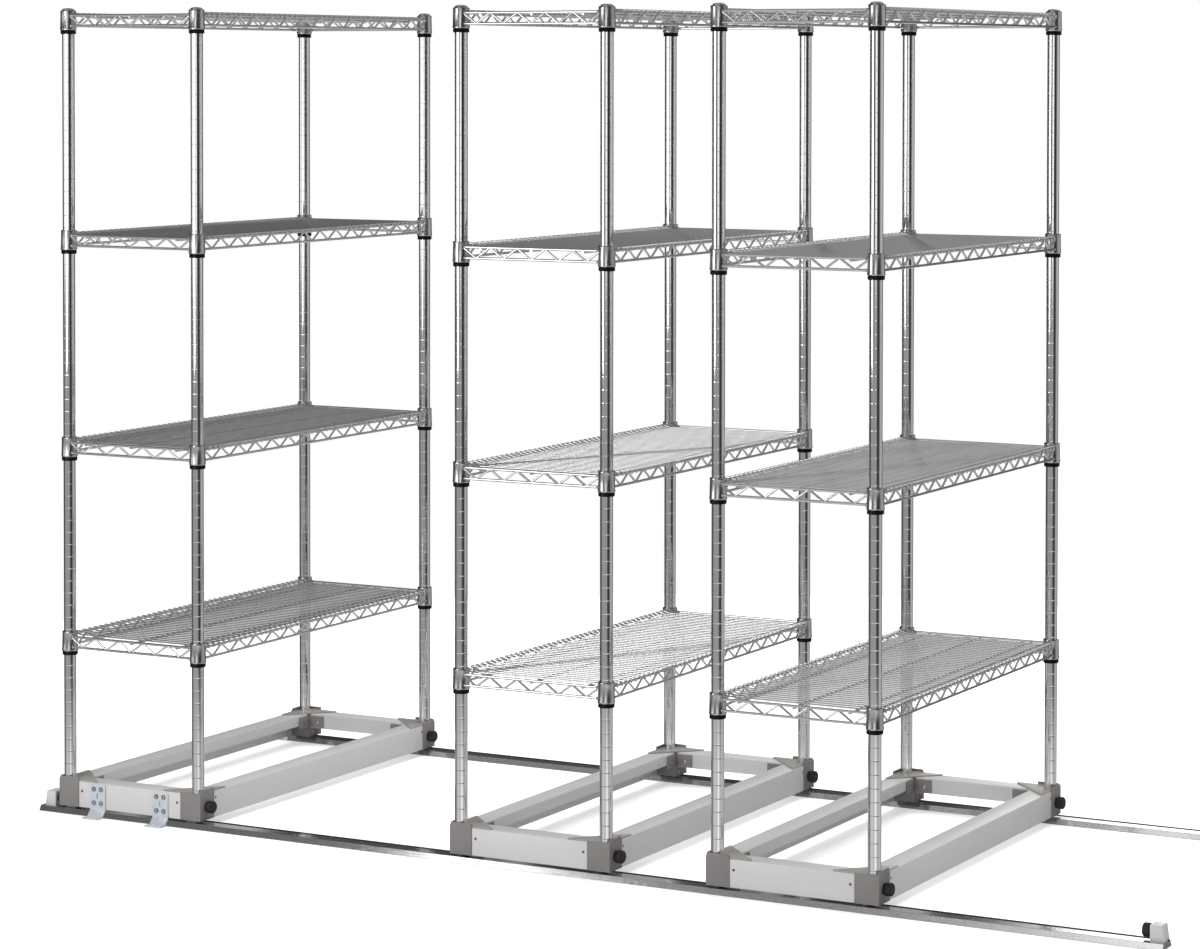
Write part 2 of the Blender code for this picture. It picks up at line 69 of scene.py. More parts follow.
def post_axis(unit, corner):
    """The point at floor level under the middle of a post."""
    low, high = node_box(f"{unit}_post_{corner}")
    return Vector(((low.x + high.x) / 2, (low.y + high.y) / 2, 0))


def every_corner():
    """For each corner: its unit, body and name, the signs that point outward, and its post's place."""
    for unit, body in UNITS.items():
        for corner, signs in CORNERS.items():
            yield unit, body, corner, signs, post_axis(unit, corner)


print("the units ride on", UNITS)

# %% Sizes that the frame gives
near_post, far_post = post_axis("unit_1", "front_left"), post_axis("unit_1", "rear_right")
PITCH_X, PITCH_Y = far_post.x - near_post.x, far_post.y - near_post.y
rail_low, rail_high = node_box("unit_1_rail_front")
RAIL_BOTTOM, RAIL_TOP = rail_low.z, rail_high.z
RAIL_OUT, RAIL_WIDTH = near_post.y - rail_low.y, rail_high.y - rail_low.y
CASTING_IN = rail_low.x - near_post.x
casting_low, casting_high = node_box("unit_1_casting_front_left")
CASTING_OUT, WALL_TOP = near_post.x - casting_low.x, casting_high.z
post_low, post_high = node_box("unit_1_post_front_left")
POST_BOTTOM, POST_TOP = post_low.z, post_high.z
shelf_heights = {k: node_box(f"unit_1_shelf_{k}")[0].z for k in SHELVES}
COLLAR_HEIGHT = node_box("unit_1_shelf_1")[1].z - shelf_heights[1]
print("post pitch", round(PITCH_X, 4), round(PITCH_Y, 4), "shelves at", shelf_heights)

# %% [markdown]
# ## Small tools for meshes
# Folded sheet, extruded rails and castings are all one outline pushed along a line, with its edges
# eased. Posts, collars, bumpers and screws are an outline turned about an axis. Two functions make both
# kinds, so that each piece below is little more than its outline. The edges are eased with real faces,
# because a highlight along an edge is what tells the eye that metal has thickness.

# %% Prisms and boxes
# An edge that bends by more than its limit stays sharp: in cast and folded pieces, in round wires of
# few sides, and in flat bars.
SHARP_ANGLE, WIRE_SHARP_ANGLE = math.radians(34), math.radians(75)
FLAT_SHARP_ANGLE = math.radians(12)
# For each axis, the directions of an outline's own X, Y and Z, one after the other.
AXES = {"X": (0, 1, 0, 0, 0, 1, 1, 0, 0), "Y": (1, 0, 0, 0, 0, 1, 0, 1, 0), "Z": (1, 0, 0, 0, 1, 0, 0, 0, 1)}


def lying(axis, place=(0, 0, 0)):
    """The matrix that stands an outline's plane across an axis, with its length along that axis."""
    a = AXES[axis]
    columns = Matrix((a[0:3], a[3:6], a[6:9])).transposed()
    return Matrix.Translation(place) @ columns.to_4x4()


def kept(shape):
    """A bmesh turned into mesh data, with its faces outward."""
    bmesh.ops.recalc_face_normals(shape, faces=shape.faces)
    mesh = bpy.data.meshes.new("piece")
    shape.to_mesh(mesh)
    shape.free()
    return mesh


def prism(outline, length, place, ease=0.0, steps=2):
    """An outline pushed along its own Z from zero to the length, with every edge eased."""
    shape = bmesh.new()
    face = shape.faces.new([shape.verts.new((x, y, 0)) for x, y in outline])
    swept = bmesh.ops.extrude_face_region(shape, geom=[face])["geom"]
    moved = [item for item in swept if isinstance(item, bmesh.types.BMVert)]
    bmesh.ops.translate(shape, verts=moved, vec=(0, 0, length))
    if ease:
        bmesh.ops.bevel(shape, geom=list(shape.edges), offset=ease, segments=steps, profile=0.5,
                        affect="EDGES", clamp_overlap=True)
    shape.transform(place)
    return kept(shape)


def slab(a, b, ease=0.0, steps=2):
    """A box between two opposite corners, given in any order."""
    low = Vector(map(min, a, b))
    size = Vector(map(max, a, b)) - low
    outline = [(0, 0), (size.x, 0), (size.x, size.y), (0, size.y)]
    return prism(outline, size.z, Matrix.Translation(low), ease, steps)


# %% Turned shapes
def turned(profile, sides, place=Matrix()):
    """A closed profile of (radius, height) points turned about Z, closed where the radius is zero."""
    shape = bmesh.new()
    rings = []
    for radius, height in profile:
        if radius == 0:
            rings.append([shape.verts.new((0, 0, height))] * sides)
            continue
        turns = [math.tau * k / sides for k in range(sides)]
        rings.append([shape.verts.new((radius * math.cos(t), radius * math.sin(t), height)) for t in turns])
    for k, ring in enumerate(rings):
        after = rings[(k + 1) % len(rings)]
        for s in range(sides):
            corners = [ring[s], ring[(s + 1) % sides], after[(s + 1) % sides], after[s]]
            corners = list(dict.fromkeys(corners))
            if len(corners) > 2:
                shape.faces.new(corners)
    shape.transform(place)
    return kept(shape)


# %% Joining meshes into a piece that rides on a body
def placed(mesh, offset):
    """A copy of a mesh, moved."""
    copy = mesh.copy()
    copy.transform(Matrix.Translation(offset))
    return copy


def linked(name, data):
    """A new object in the scene."""
    item = bpy.data.objects.new(name, data)
    bpy.context.scene.collection.objects.link(item)
    return item


def piece(name, body, meshes, material, stands_for=(), sharp=SHARP_ANGLE):
    """One named object from several meshes, with its sharp edges kept, riding on its body."""
    shape = bmesh.new()
    for mesh in meshes:
        shape.from_mesh(mesh)
    for face in shape.faces:
        face.smooth = True
        face.material_index = 0
    for edge in shape.edges:
        edge.smooth = len(edge.link_faces) == 2 and edge.calc_face_angle(0) < sharp
    data = bpy.data.meshes.new(name)
    shape.to_mesh(data)
    shape.free()
    data.materials.clear()
    data.materials.append(material)
    item = linked(name, data)
    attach(item, body)
    if stands_for:
        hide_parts(*stands_for)
    return item


# %% [markdown]
# ## Node trees written as expressions
# Shader and geometry trees grow long when every node is made by hand. One class makes any node from its
# type, its settings and its sockets, and wraps the result, so that sums on wrapped values add their own
# Math nodes.

# %% A graph and its terms
class Term:
    """An output socket that can be used in sums."""

    def __init__(self, graph, socket):
        self.graph, self.socket = graph, socket

    def math(self, operation, *others):
        inputs = dict(enumerate((self, *others)))
        return self.graph.node("ShaderNodeMath", {"operation": operation}, inputs)

    def __add__(self, other):
        return self.math("ADD", other)

    def __sub__(self, other):
        return self.math("SUBTRACT", other)

    def __mul__(self, other):
        return self.math("MULTIPLY", other)

    def __truediv__(self, other):
        return self.math("DIVIDE", other)

    def __rsub__(self, other):
        return self.math("MULTIPLY", -1) + other

    __radd__, __rmul__ = __add__, __mul__


class Graph:
    """A node tree whose nodes all come from one method."""

    def __init__(self, tree):
        self.tree = tree
        tree.nodes.clear()

    def node(self, kind, settings=None, inputs=None, output=0):
        node = self.tree.nodes.new(kind)
        for name, value in (settings or {}).items():
            setattr(node, name, value)
        for key, value in (inputs or {}).items():
            if isinstance(value, Term):
                self.tree.links.new(value.socket, node.inputs[key])
            else:
                node.inputs[key].default_value = value
        return Term(self, node.outputs[output]) if node.outputs else None


# %% [markdown]
# ## Finishes
# The main finishes are bright chrome on posts and wires, a duller chrome on the collars, satin aluminium
# rails, brown grey castings with a fine orange peel, zinc plated brackets and black rubber. Each is a
# Principled surface. A little noise on Object coordinates varies the roughness, as handling and plating
# do, so that no face is perfectly even.

# %% A surface with grain
BROAD_SCALE = 9.0
FINE_SHARE = 0.6
PEEL_STRENGTH = 0.5


def surface(name, colour, metallic, roughness, grain=400.0, wear=0.08, peel=0.0, tint=0.06, gloss=0.5):
    """A Principled material; wear varies its roughness, tint its colour, and peel its relief in metres."""
    material = bpy.data.materials.new(name)
    material.use_nodes = True
    graph = Graph(material.node_tree)
    where = graph.node("ShaderNodeTexCoord", output="Object")
    noise = graph.node("ShaderNodeTexNoise", {"noise_dimensions": "3D"},
                       {"Vector": where, "Scale": grain, "Detail": 3.0, "Roughness": 0.6})
    broad = graph.node("ShaderNodeTexNoise", {"noise_dimensions": "3D"},
                       {"Vector": where, "Scale": BROAD_SCALE, "Detail": 2.0})
    patches = noise * FINE_SHARE + broad * (1 - FINE_SHARE)
    darker = tuple(channel * (1 - 2 * tint) for channel in colour)
    shade = graph.node("ShaderNodeMix", {"data_type": "RGBA"},
                       {0: patches, 6: (*darker, 1), 7: (*colour, 1)}, output=2)
    inputs = {"Base Color": shade, "Metallic": metallic, "Roughness": (noise - 0.5) * wear + roughness,
              "Specular IOR Level": gloss}
    if peel:
        inputs["Normal"] = graph.node("ShaderNodeBump", None,
                                      {"Height": noise, "Distance": peel, "Strength": PEEL_STRENGTH})
    shader = graph.node("ShaderNodeBsdfPrincipled", None, inputs)
    graph.node("ShaderNodeOutputMaterial", None, {"Surface": shader})
    return material


# %% The finishes of this object
CHROME_POST = surface("chrome_post_finish", (0.92, 0.925, 0.93), 1.0, 0.055, wear=0.03, tint=0.01)
CHROME_WIRE = surface("chrome_wire_finish", (0.88, 0.885, 0.89), 1.0, 0.10, wear=0.05, tint=0.02)
CHROME_COLLAR = surface("chrome_collar_finish", (0.74, 0.745, 0.75), 1.0, 0.2, grain=350, wear=0.2,
                        peel=0.0002, tint=0.15)
RAIL_METAL = surface("rail_finish", (0.75, 0.74, 0.745), 0.25, 0.42, grain=900, wear=0.1, peel=0.0001)
CASTING_METAL = surface("casting_finish", (0.24, 0.221, 0.219), 0.0, 0.5, grain=700, wear=0.2, peel=0.0003)
PLATE_METAL = surface("gusset_finish", (0.44, 0.425, 0.395), 0.3, 0.4, grain=800, peel=0.0001)
TRACK_METAL = surface("track_finish", (0.66, 0.67, 0.66), 0.92, 0.10, grain=900, wear=0.1, peel=0.0001)
ZINC = surface("zinc_finish", (0.88, 0.94, 1.0), 0.35, 0.34, grain=260, wear=0.3, tint=0.25)
RUBBER = surface("rubber_finish", (0.022, 0.018, 0.019), 0.0, 0.55, grain=900, wear=0.2, peel=0.0002)
BLACK_PLASTIC = surface("sleeve_finish", (0.004, 0.004, 0.005), 0.0, 0.4, grain=500, wear=0.1, gloss=0.2)
SCREW_STEEL = surface("screw_finish", (0.62, 0.62, 0.63), 1.0, 0.25, grain=500, wear=0.2)
DARK_SCREW = surface("dark_screw_finish", (0.16, 0.15, 0.16), 0.8, 0.35, grain=500, wear=0.2)
NYLON = surface("wheel_finish", (0.06, 0.06, 0.065), 0.0, 0.5, grain=500, wear=0.2)
print("finishes:", sorted(material.name for material in bpy.data.materials))

# %% [markdown]
# ## The camera
# The photograph was taken with a long lens from the right, a little below the height of the top shelf.
# The lens, the place and the shift below come from the posts' known pitch and the places where their
# sleeves end in the picture. It goes in first, so that every later step can be looked at.

# %% Camera
PHOTO_WIDTH, PHOTO_HEIGHT = 1200, 949
PRINCIPAL_X, PRINCIPAL_Y = 665.4, 162.4
LENS_PIXELS = 3491.4
SENSOR_WIDTH = 36.0
CAMERA_PLACE = Vector((3.3194, -6.2751, 1.5556))
CAMERA_YAW, CAMERA_PITCH, CAMERA_ROLL = 0.48599, -0.02683, -0.0015

camera_data = bpy.data.cameras.new("photo_camera")
camera_data.sensor_width = SENSOR_WIDTH
camera_data.lens = LENS_PIXELS * SENSOR_WIDTH / PHOTO_WIDTH
camera_data.shift_x = (PHOTO_WIDTH / 2 - PRINCIPAL_X) / PHOTO_WIDTH
camera_data.shift_y = (PRINCIPAL_Y - PHOTO_HEIGHT / 2) / PHOTO_WIDTH
camera = linked("photo_camera", camera_data)
camera.location = CAMERA_PLACE
camera.rotation_euler = (math.pi / 2 + CAMERA_PITCH, CAMERA_ROLL, CAMERA_YAW)
bpy.context.scene.camera = camera
bpy.context.scene.view_settings.view_transform = "Standard"
print("lens", round(camera_data.lens, 2), "mm")

# %% [markdown]
# ## The grooved posts
# A shelving post is a chromed tube with a groove every inch, where the split sleeves clip in. Turning a
# profile of sixty grooves by hand would be a long list, so a tree makes it: a line of points, six to a
# groove, with the tube's radius drawn in on the two middle ones. The outer two keep the tube between the
# grooves straight, so that it mirrors like a plain cylinder.

# %% A tree for anything built on a path
def tree_inputs(tree, **sockets):
    """Named inputs of a geometry tree, and the geometry that comes in and goes out."""
    kinds = {"number": "NodeSocketFloat", "count": "NodeSocketInt", "vector": "NodeSocketVector",
             "finish": "NodeSocketMaterial"}
    tree.interface.new_socket("Geometry", in_out="INPUT", socket_type="NodeSocketGeometry")
    tree.interface.new_socket("Geometry", in_out="OUTPUT", socket_type="NodeSocketGeometry")
    for name, kind in sockets.items():
        tree.interface.new_socket(name, in_out="INPUT", socket_type=kinds[kind])
    graph = Graph(tree)
    entry = graph.node("NodeGroupInput").socket.node
    return graph, {socket.name: Term(graph, socket) for socket in entry.outputs if socket.name}


def tree_output(graph, geometry, finish):
    """Realize, take the finish and leave the tree."""
    whole = graph.node("GeometryNodeRealizeInstances", None, {"Geometry": geometry})
    whole = graph.node("GeometryNodeSetMaterial", None, {"Geometry": whole, "Material": finish})
    graph.node("NodeGroupOutput", None, {"Geometry": whole})


def built(tree, points, chains, **values):
    """The plain mesh that a tree makes from points and the chains of edges that join them."""
    mesh = bpy.data.meshes.new("paths")
    edges = [(a, b) for chain in chains for a, b in zip(chain, chain[1:])]
    mesh.from_pydata([tuple(p) for p in points], edges, [])
    host = linked("host", mesh)
    modifier = host.modifiers.new("build", "NODES")
    modifier.node_group = tree
    for item in tree.interface.items_tree:
        if item.in_out == "INPUT" and item.name in values:
            modifier[item.identifier] = values[item.name]
    graph = bpy.context.evaluated_depsgraph_get()
    result = bpy.data.meshes.new_from_object(host.evaluated_get(graph), depsgraph=graph)
    bpy.data.objects.remove(host)
    return result


# %% The post tree
post_tree = bpy.data.node_groups.new("grooved_post", "GeometryNodeTree")
g, wire = tree_inputs(post_tree, Grooves="count", First="number", Pitch="number", Width="number",
                      Depth="number", Radius="number", Bottom="number", Top="number", Sides="count",
                      Finish="finish")
POINTS = 6  # to a groove, with one more for each end of the tube
MIDDLE = (POINTS - 1) / 2
line = g.node("GeometryNodeMeshLine", None, {"Count": wire["Grooves"] * POINTS + 2, "Offset": (0, 0, 1)})
step = g.node("GeometryNodeInputIndex") - 1
groove = (step / POINTS).math("FLOOR")
part = step - groove * POINTS
height = wire["First"] + groove * wire["Pitch"] + (part - MIDDLE) * wire["Width"] / 3
height = height.math("MAXIMUM", wire["Bottom"])
last = g.node("GeometryNodeInputIndex").math("GREATER_THAN", wire["Grooves"] * POINTS + 0.5)
first = step.math("LESS_THAN", -0.5)
height = height * (1 - last) * (1 - first) + last * wire["Top"] + first * wire["Bottom"]
place = g.node("ShaderNodeCombineXYZ", None, {"Z": height})
line = g.node("GeometryNodeSetPosition", None, {"Geometry": line, "Position": place})
drawn_in = (part - MIDDLE).math("ABSOLUTE").math("LESS_THAN", 1) * (1 - first) * (1 - last)
radius = wire["Radius"] - drawn_in * wire["Depth"]
curve = g.node("GeometryNodeMeshToCurve", None, {"Mesh": line})
curve = g.node("GeometryNodeSetCurveRadius", None, {"Curve": curve, "Radius": radius})
ring = g.node("GeometryNodeCurvePrimitiveCircle", None, {"Resolution": wire["Sides"], "Radius": 1.0})
widths = g.node("GeometryNodeInputRadius")
tube = g.node("GeometryNodeCurveToMesh", None,
              {"Curve": curve, "Profile Curve": ring, "Scale": widths, "Fill Caps": True})
tree_output(g, tube, wire["Finish"])
print("the post tree has", len(post_tree.nodes), "nodes")

# %% Build the posts
POST_RADIUS = 0.0127
POST_SIDES = 36
GROOVE_PITCH = 0.0254
GROOVE_WIDTH, GROOVE_DEPTH = 0.0021, 0.00005
SLEEVE_SHOWN, SLEEVE_DROP = 0.0058, 0.0080
CAP_RISE = 0.0035
CAP_STEPS = 6
CAP_TURN = math.pi / 2 / CAP_STEPS
lowest_sleeve = shelf_heights[1] - SLEEVE_SHOWN
first_groove = lowest_sleeve - math.floor((lowest_sleeve - WALL_TOP) / GROOVE_PITCH) * GROOVE_PITCH
tube_top = POST_TOP - CAP_RISE
groove_count = int((tube_top - first_groove) / GROOVE_PITCH)
post_tube = built(post_tree, [(0, 0, 0)], [], Grooves=groove_count, First=first_groove,
                  Pitch=GROOVE_PITCH, Width=GROOVE_WIDTH, Depth=GROOVE_DEPTH, Radius=POST_RADIUS,
                  Bottom=POST_BOTTOM, Top=tube_top, Sides=POST_SIDES, Finish=CHROME_POST)
cap_profile = [(POST_RADIUS * math.cos(CAP_TURN * k), tube_top + CAP_RISE * math.sin(CAP_TURN * k))
               for k in range(CAP_STEPS)]
cap_foot = [(0, tube_top - CAP_RISE), (POST_RADIUS, tube_top - CAP_RISE)]
post_cap = turned(cap_foot + cap_profile + [(0, POST_TOP)], POST_SIDES)
print("a post has", groove_count, "grooves and", len(post_tube.polygons), "faces")

# %% [markdown]
# ## Sleeves
# A two-part black plastic sleeve snaps round a groove, and the shelf's tapered collar slides down over
# it and wedges. Only its lip shows, as the black ring under each collar.

# %% Sleeves
SLEEVE_LIP_RADIUS, SLEEVE_NECK_RADIUS, SLEEVE_TOP_RADIUS = 0.0160, 0.0149, 0.0134
SLEEVE_LENGTH = 0.0460
LIP_EASE, LIP_ROUND = 0.0008, 0.0012
HAIR, BORE_PLAY = 0.0002, 0.00005
bore = POST_RADIUS + BORE_PLAY
sleeve = turned([
    (bore, 0), (SLEEVE_LIP_RADIUS - LIP_EASE, 0), (SLEEVE_LIP_RADIUS, LIP_EASE),
    (SLEEVE_LIP_RADIUS, SLEEVE_DROP - LIP_ROUND),
    (SLEEVE_LIP_RADIUS - LIP_ROUND / 2, SLEEVE_DROP - LIP_ROUND / 4),
    (SLEEVE_NECK_RADIUS, SLEEVE_DROP - HAIR), (SLEEVE_TOP_RADIUS, SLEEVE_LENGTH),
    (bore, SLEEVE_LENGTH)], POST_SIDES)

for unit, body, corner, _, spot in every_corner():
    node = f"{unit}_post_{corner}"
    piece(f"{node}_tube", body, [placed(post_tube, spot)], CHROME_POST, [node])
    piece(f"{node}_cap", body, [placed(post_cap, spot)], CHROME_POST)
    rings = [placed(sleeve, spot + Vector((0, 0, shelf_heights[k] - SLEEVE_DROP))) for k in SHELVES]
    piece(f"{node}_sleeves", body, rings, BLACK_PLASTIC)
print(len(UNITS) * len(CORNERS), "posts, each with", len(SHELVES), "sleeves")

# %% [markdown]
# ## The wire shelves
# A shelf is about sixty welded wires. Thin wires run across it from side to side and turn down over the
# edge wires. Three ribs carry them. Round the edge a top wire and a bottom wire are held apart by a
# zigzag, and all of them end on the four corner collars. One tree turns any path into a round wire with
# bent corners and repeats it along a step, so a mat is one path and a count.

# %% The wire tree
wire_tree = bpy.data.node_groups.new("bent_wires", "GeometryNodeTree")
g, wire = tree_inputs(wire_tree, Radius="number", Sides="count", Bend="number", Bends="count",
                      Copies="count", Step="vector", Finish="finish")
curve = g.node("GeometryNodeMeshToCurve", None, {"Mesh": wire["Geometry"]})
curve = g.node("GeometryNodeFilletCurve", {"mode": "POLY"},
               {"Curve": curve, "Count": wire["Bends"], "Radius": wire["Bend"], "Limit Radius": True})
ring = g.node("GeometryNodeCurvePrimitiveCircle", None,
              {"Resolution": wire["Sides"], "Radius": wire["Radius"]})
tube = g.node("GeometryNodeCurveToMesh", None, {"Curve": curve, "Profile Curve": ring, "Fill Caps": True})
row = g.node("GeometryNodeMeshLine", None, {"Count": wire["Copies"], "Offset": wire["Step"]})
row = g.node("GeometryNodeInstanceOnPoints", None, {"Points": row, "Instance": tube})
tree_output(g, row, wire["Finish"])


def wires(paths, radius, sides, bend=0.0, bends=3, copies=1, step=(0, 0, 0)):
    """Round wires along paths of points, with eased corners, repeated by a step."""
    points, chains = [], []
    for path in paths:
        chains.append(range(len(points), len(points) + len(path)))
        points.extend(path)
    return built(wire_tree, points, chains, Radius=radius, Sides=sides, Bend=bend, Bends=bends,
                 Copies=copies, Step=Vector(step), Finish=CHROME_WIRE)


print("the wire tree has", len(wire_tree.nodes), "nodes")

# %% Sizes of a shelf, from its lowest point at the front left post
WIRE_OUT = 0.0085
EDGE_RADIUS, MAT_RADIUS, RIB_RADIUS, TRUSS_RADIUS = 0.0027, 0.0017, 0.0026, 0.0023
EDGE_HEIGHT, LOW_HEIGHT = 0.0306, 0.0092
MAT_HEIGHT = 0.0311
MAT_LIFT_START, MAT_LIFT_END, MAT_BEND = -0.003, 0.011, 0.002
TICK_FOOT = 0.0275
MAT_FIRST, MAT_COUNT = 0.0215, 45
COLLAR_TOP_RADIUS, COLLAR_FOOT_RADIUS = 0.0160, 0.0172
RIB_INSET = 0.048
LEG_PITCH, LEG_BEND = 0.0615, 0.003
WELD_DEPTH = 0.0015
wire_sides = 8
over = EDGE_HEIGHT + EDGE_RADIUS + MAT_RADIUS
tick_out = WIRE_OUT + EDGE_RADIUS + MAT_RADIUS
collar_reach = math.sqrt(COLLAR_TOP_RADIUS ** 2 - WIRE_OUT ** 2) - WELD_DEPTH
print("the edge wires end", round(collar_reach * 1000, 1), "mm along from each post's axis")

# %% The mat and its ribs
half_path = [(-tick_out, 0, TICK_FOOT), (-tick_out, 0, over), (MAT_LIFT_START, 0, over),
             (MAT_LIFT_END, 0, MAT_HEIGHT)]
mirrored = [(PITCH_X - x, y, z) for x, y, z in reversed(half_path)]
mat_path = [(x, MAT_FIRST, z) for x, _, z in half_path + mirrored]
mat_step = (PITCH_Y - 2 * MAT_FIRST) / (MAT_COUNT - 1)
mat = wires([mat_path], MAT_RADIUS, wire_sides - 2, MAT_BEND, 2, MAT_COUNT, (0, mat_step, 0))
rib_height = MAT_HEIGHT - MAT_RADIUS - RIB_RADIUS
ribs = wires([[(x, -WIRE_OUT, rib_height), (x, PITCH_Y + WIRE_OUT, rib_height)]
              for x in (RIB_INSET, PITCH_X / 2, PITCH_X - RIB_INSET)], RIB_RADIUS, wire_sides)
print("a mat has", MAT_COUNT, "wires", round(mat_step * 1000, 1), "mm apart")

# %% The edge wires and the zigzags
def across(along_y, s, side, z):
    """A point at s along one of the shelf's four edges, on its wire line."""
    if along_y:
        return (-WIRE_OUT if side < 0 else PITCH_X + WIRE_OUT, s, z)
    return (s, -WIRE_OUT if side < 0 else PITCH_Y + WIRE_OUT, z)


def zigzag(span):
    """(distance, height) corners of a zigzag that is centred on a span and ends on its collars."""
    start, end = collar_reach, span - collar_reach
    feet = int((end - start) / LEG_PITCH) + 1
    feet -= (feet % 2 == 0) * (span < PITCH_Y)
    first = span / 2 - LEG_PITCH * (feet - 1) / 2
    corners = []
    for k in range(-1, 2 * feet):
        corners.append((first + LEG_PITCH * k / 2, LOW_HEIGHT if k % 2 == 0 else EDGE_HEIGHT))
    (s0, z0), (s1, z1) = corners[0], corners[1]
    rise = (z0 - z1) * (start - s0) / (s1 - s0)
    corners[0] = (max(s0, start), z0 - max(rise, 0))
    corners[-1] = (min(corners[-1][0], end), corners[0][1])
    return corners


edge_paths, truss_paths = [], []
for along_y, span in ((True, PITCH_Y), (False, PITCH_X)):
    for side in (-1, 1):
        for z in (EDGE_HEIGHT, LOW_HEIGHT):
            ends = (collar_reach, span - collar_reach)
            edge_paths.append([across(along_y, s, side, z) for s in ends])
        truss_paths.append([across(along_y, s, side, z) for s, z in zigzag(span)])
edges = wires(edge_paths, EDGE_RADIUS, wire_sides)
truss = wires(truss_paths, TRUSS_RADIUS, wire_sides - 1, LEG_BEND, 3)
print(len(edge_paths), "edge wires, and zigzags of", [len(path) for path in truss_paths], "corners")

# %% Collars and the weld beads on them
bead_tree = bpy.data.node_groups.new("weld_beads", "GeometryNodeTree")
g, wire = tree_inputs(bead_tree, Radius="number", Finish="finish")
BEAD_SIDES, BEAD_RINGS = 8, 6
ball = g.node("GeometryNodeMeshUVSphere", None,
              {"Segments": BEAD_SIDES, "Rings": BEAD_RINGS, "Radius": wire["Radius"]})
beads = g.node("GeometryNodeInstanceOnPoints", None, {"Points": wire["Geometry"], "Instance": ball})
tree_output(g, beads, wire["Finish"])

EASE, LIP, LIP_HEIGHT, LIP_FADE = 0.0008, 0.0006, 0.003, 0.006
FOOT_PLAY, TOP_PLAY = 0.0002, 0.0004
BEAD_RADIUS, BEAD_IN = 0.0036, 0.0022
collar_profile = [
    (SLEEVE_NECK_RADIUS + FOOT_PLAY, 0), (COLLAR_FOOT_RADIUS - EASE, 0), (COLLAR_FOOT_RADIUS, EASE),
    (COLLAR_FOOT_RADIUS, LIP_HEIGHT), (COLLAR_FOOT_RADIUS - LIP, LIP_FADE),
    (COLLAR_TOP_RADIUS, COLLAR_HEIGHT - LIP_FADE), (COLLAR_TOP_RADIUS + LIP / 2, COLLAR_HEIGHT - LIP_HEIGHT),
    (COLLAR_TOP_RADIUS + LIP / 2, COLLAR_HEIGHT - EASE), (COLLAR_TOP_RADIUS - EASE / 2, COLLAR_HEIGHT),
    (SLEEVE_TOP_RADIUS + TOP_PLAY, COLLAR_HEIGHT)]
corner_spots = [Vector((x, y, 0)) for x in (0, PITCH_X) for y in (0, PITCH_Y)]
collar = turned(collar_profile, POST_SIDES)
collars = [placed(collar, spot) for spot in corner_spots]
bead_points = []
for path in edge_paths:
    (x0, y0, z), (x1, y1, _) = path
    inward = Vector((x1 - x0, y1 - y0, 0)).normalized() * BEAD_IN
    bead_points += [Vector(path[0]) + inward, Vector(path[1]) - inward]
beads = built(bead_tree, bead_points, [], Radius=BEAD_RADIUS, Finish=CHROME_WIRE)
print(len(collars), "collars and", len(bead_points), "weld beads to a shelf")

# %% Every shelf of every unit
for unit, body in UNITS.items():
    for k in SHELVES:
        origin = post_axis(unit, "front_left") + Vector((0, 0, shelf_heights[k]))
        node = f"{unit}_shelf_{k}"
        for name, meshes, finish, stands_for in (("mat", (mat, ribs), CHROME_WIRE, [node]),
                                                 ("edges", (edges, truss), CHROME_WIRE, ()),
                                                 ("collars", (*collars, beads), CHROME_COLLAR, ())):
            piece(f"{node}_{name}", body, [placed(mesh, origin) for mesh in meshes], finish,
                  stands_for, WIRE_SHARP_ANGLE)
print(len(UNITS) * len(SHELVES), "shelves")

# %% [markdown]
# ## Cutting and easing
# Some shapes are easiest to make whole and then cut: the pocket of a wheel, a clipped corner, a slot. A
# Boolean modifier does the cut, and its result is kept as plain mesh data. The cut leaves hard edges, so
# a second function eases every edge that is sharp enough to need it.

# %% Cutting and easing
DOUBLES = 0.00001
FLAT_ENOUGH = 0.01


def cut(mesh, tools):
    """The mesh after the tools' volumes are taken from it."""
    items = [linked("tool", data) for data in (mesh, *tools)]
    for tool in items[1:]:
        step = items[0].modifiers.new("cut", "BOOLEAN")
        step.operation, step.solver, step.object = "DIFFERENCE", "EXACT", tool
    graph = bpy.context.evaluated_depsgraph_get()
    result = bpy.data.meshes.new_from_object(items[0].evaluated_get(graph), depsgraph=graph)
    for item in items:
        bpy.data.objects.remove(item)
    return result


def eased(mesh, amount, steps=2):
    """A mesh with its sharp edges eased."""
    shape = bmesh.new()
    shape.from_mesh(mesh)
    bmesh.ops.remove_doubles(shape, verts=shape.verts, dist=DOUBLES)
    bmesh.ops.dissolve_limit(shape, angle_limit=FLAT_ENOUGH, verts=shape.verts, edges=shape.edges)
    sharp = [edge for edge in shape.edges
             if len(edge.link_faces) == 2 and edge.calc_face_angle(0) > SHARP_ANGLE]
    bmesh.ops.bevel(shape, geom=sharp, offset=amount, segments=steps, profile=0.5, affect="EDGES",
                    clamp_overlap=True)
    return kept(shape)


# %% [markdown]
# ## The castings
# Each base is four folded or extruded channels that plug into corner castings. The castings' two outer
# walls stand above the rails with clipped corners, and two legs reach into the channels. The rolling
# units hide a wheel in each casting, and the anchored one stands on square feet. Walls, block, legs and
# foot overlap as separate closed shapes, which is simpler than one outline and looks the same.

# %% The raised walls
WALL, CLIP = 0.003, 0.0055
WALL_HIGH = RAIL_TOP + 0.008
WALL_EASE = 0.0005
CASTING_SIDE = CASTING_OUT + CASTING_IN
GUSSET_REACH, GUSSET_THICK, GUSSET_TIP, GUSSET_LIFT = 0.078, 0.0024, 0.004, 0.0003
OVERCUT = 0.001


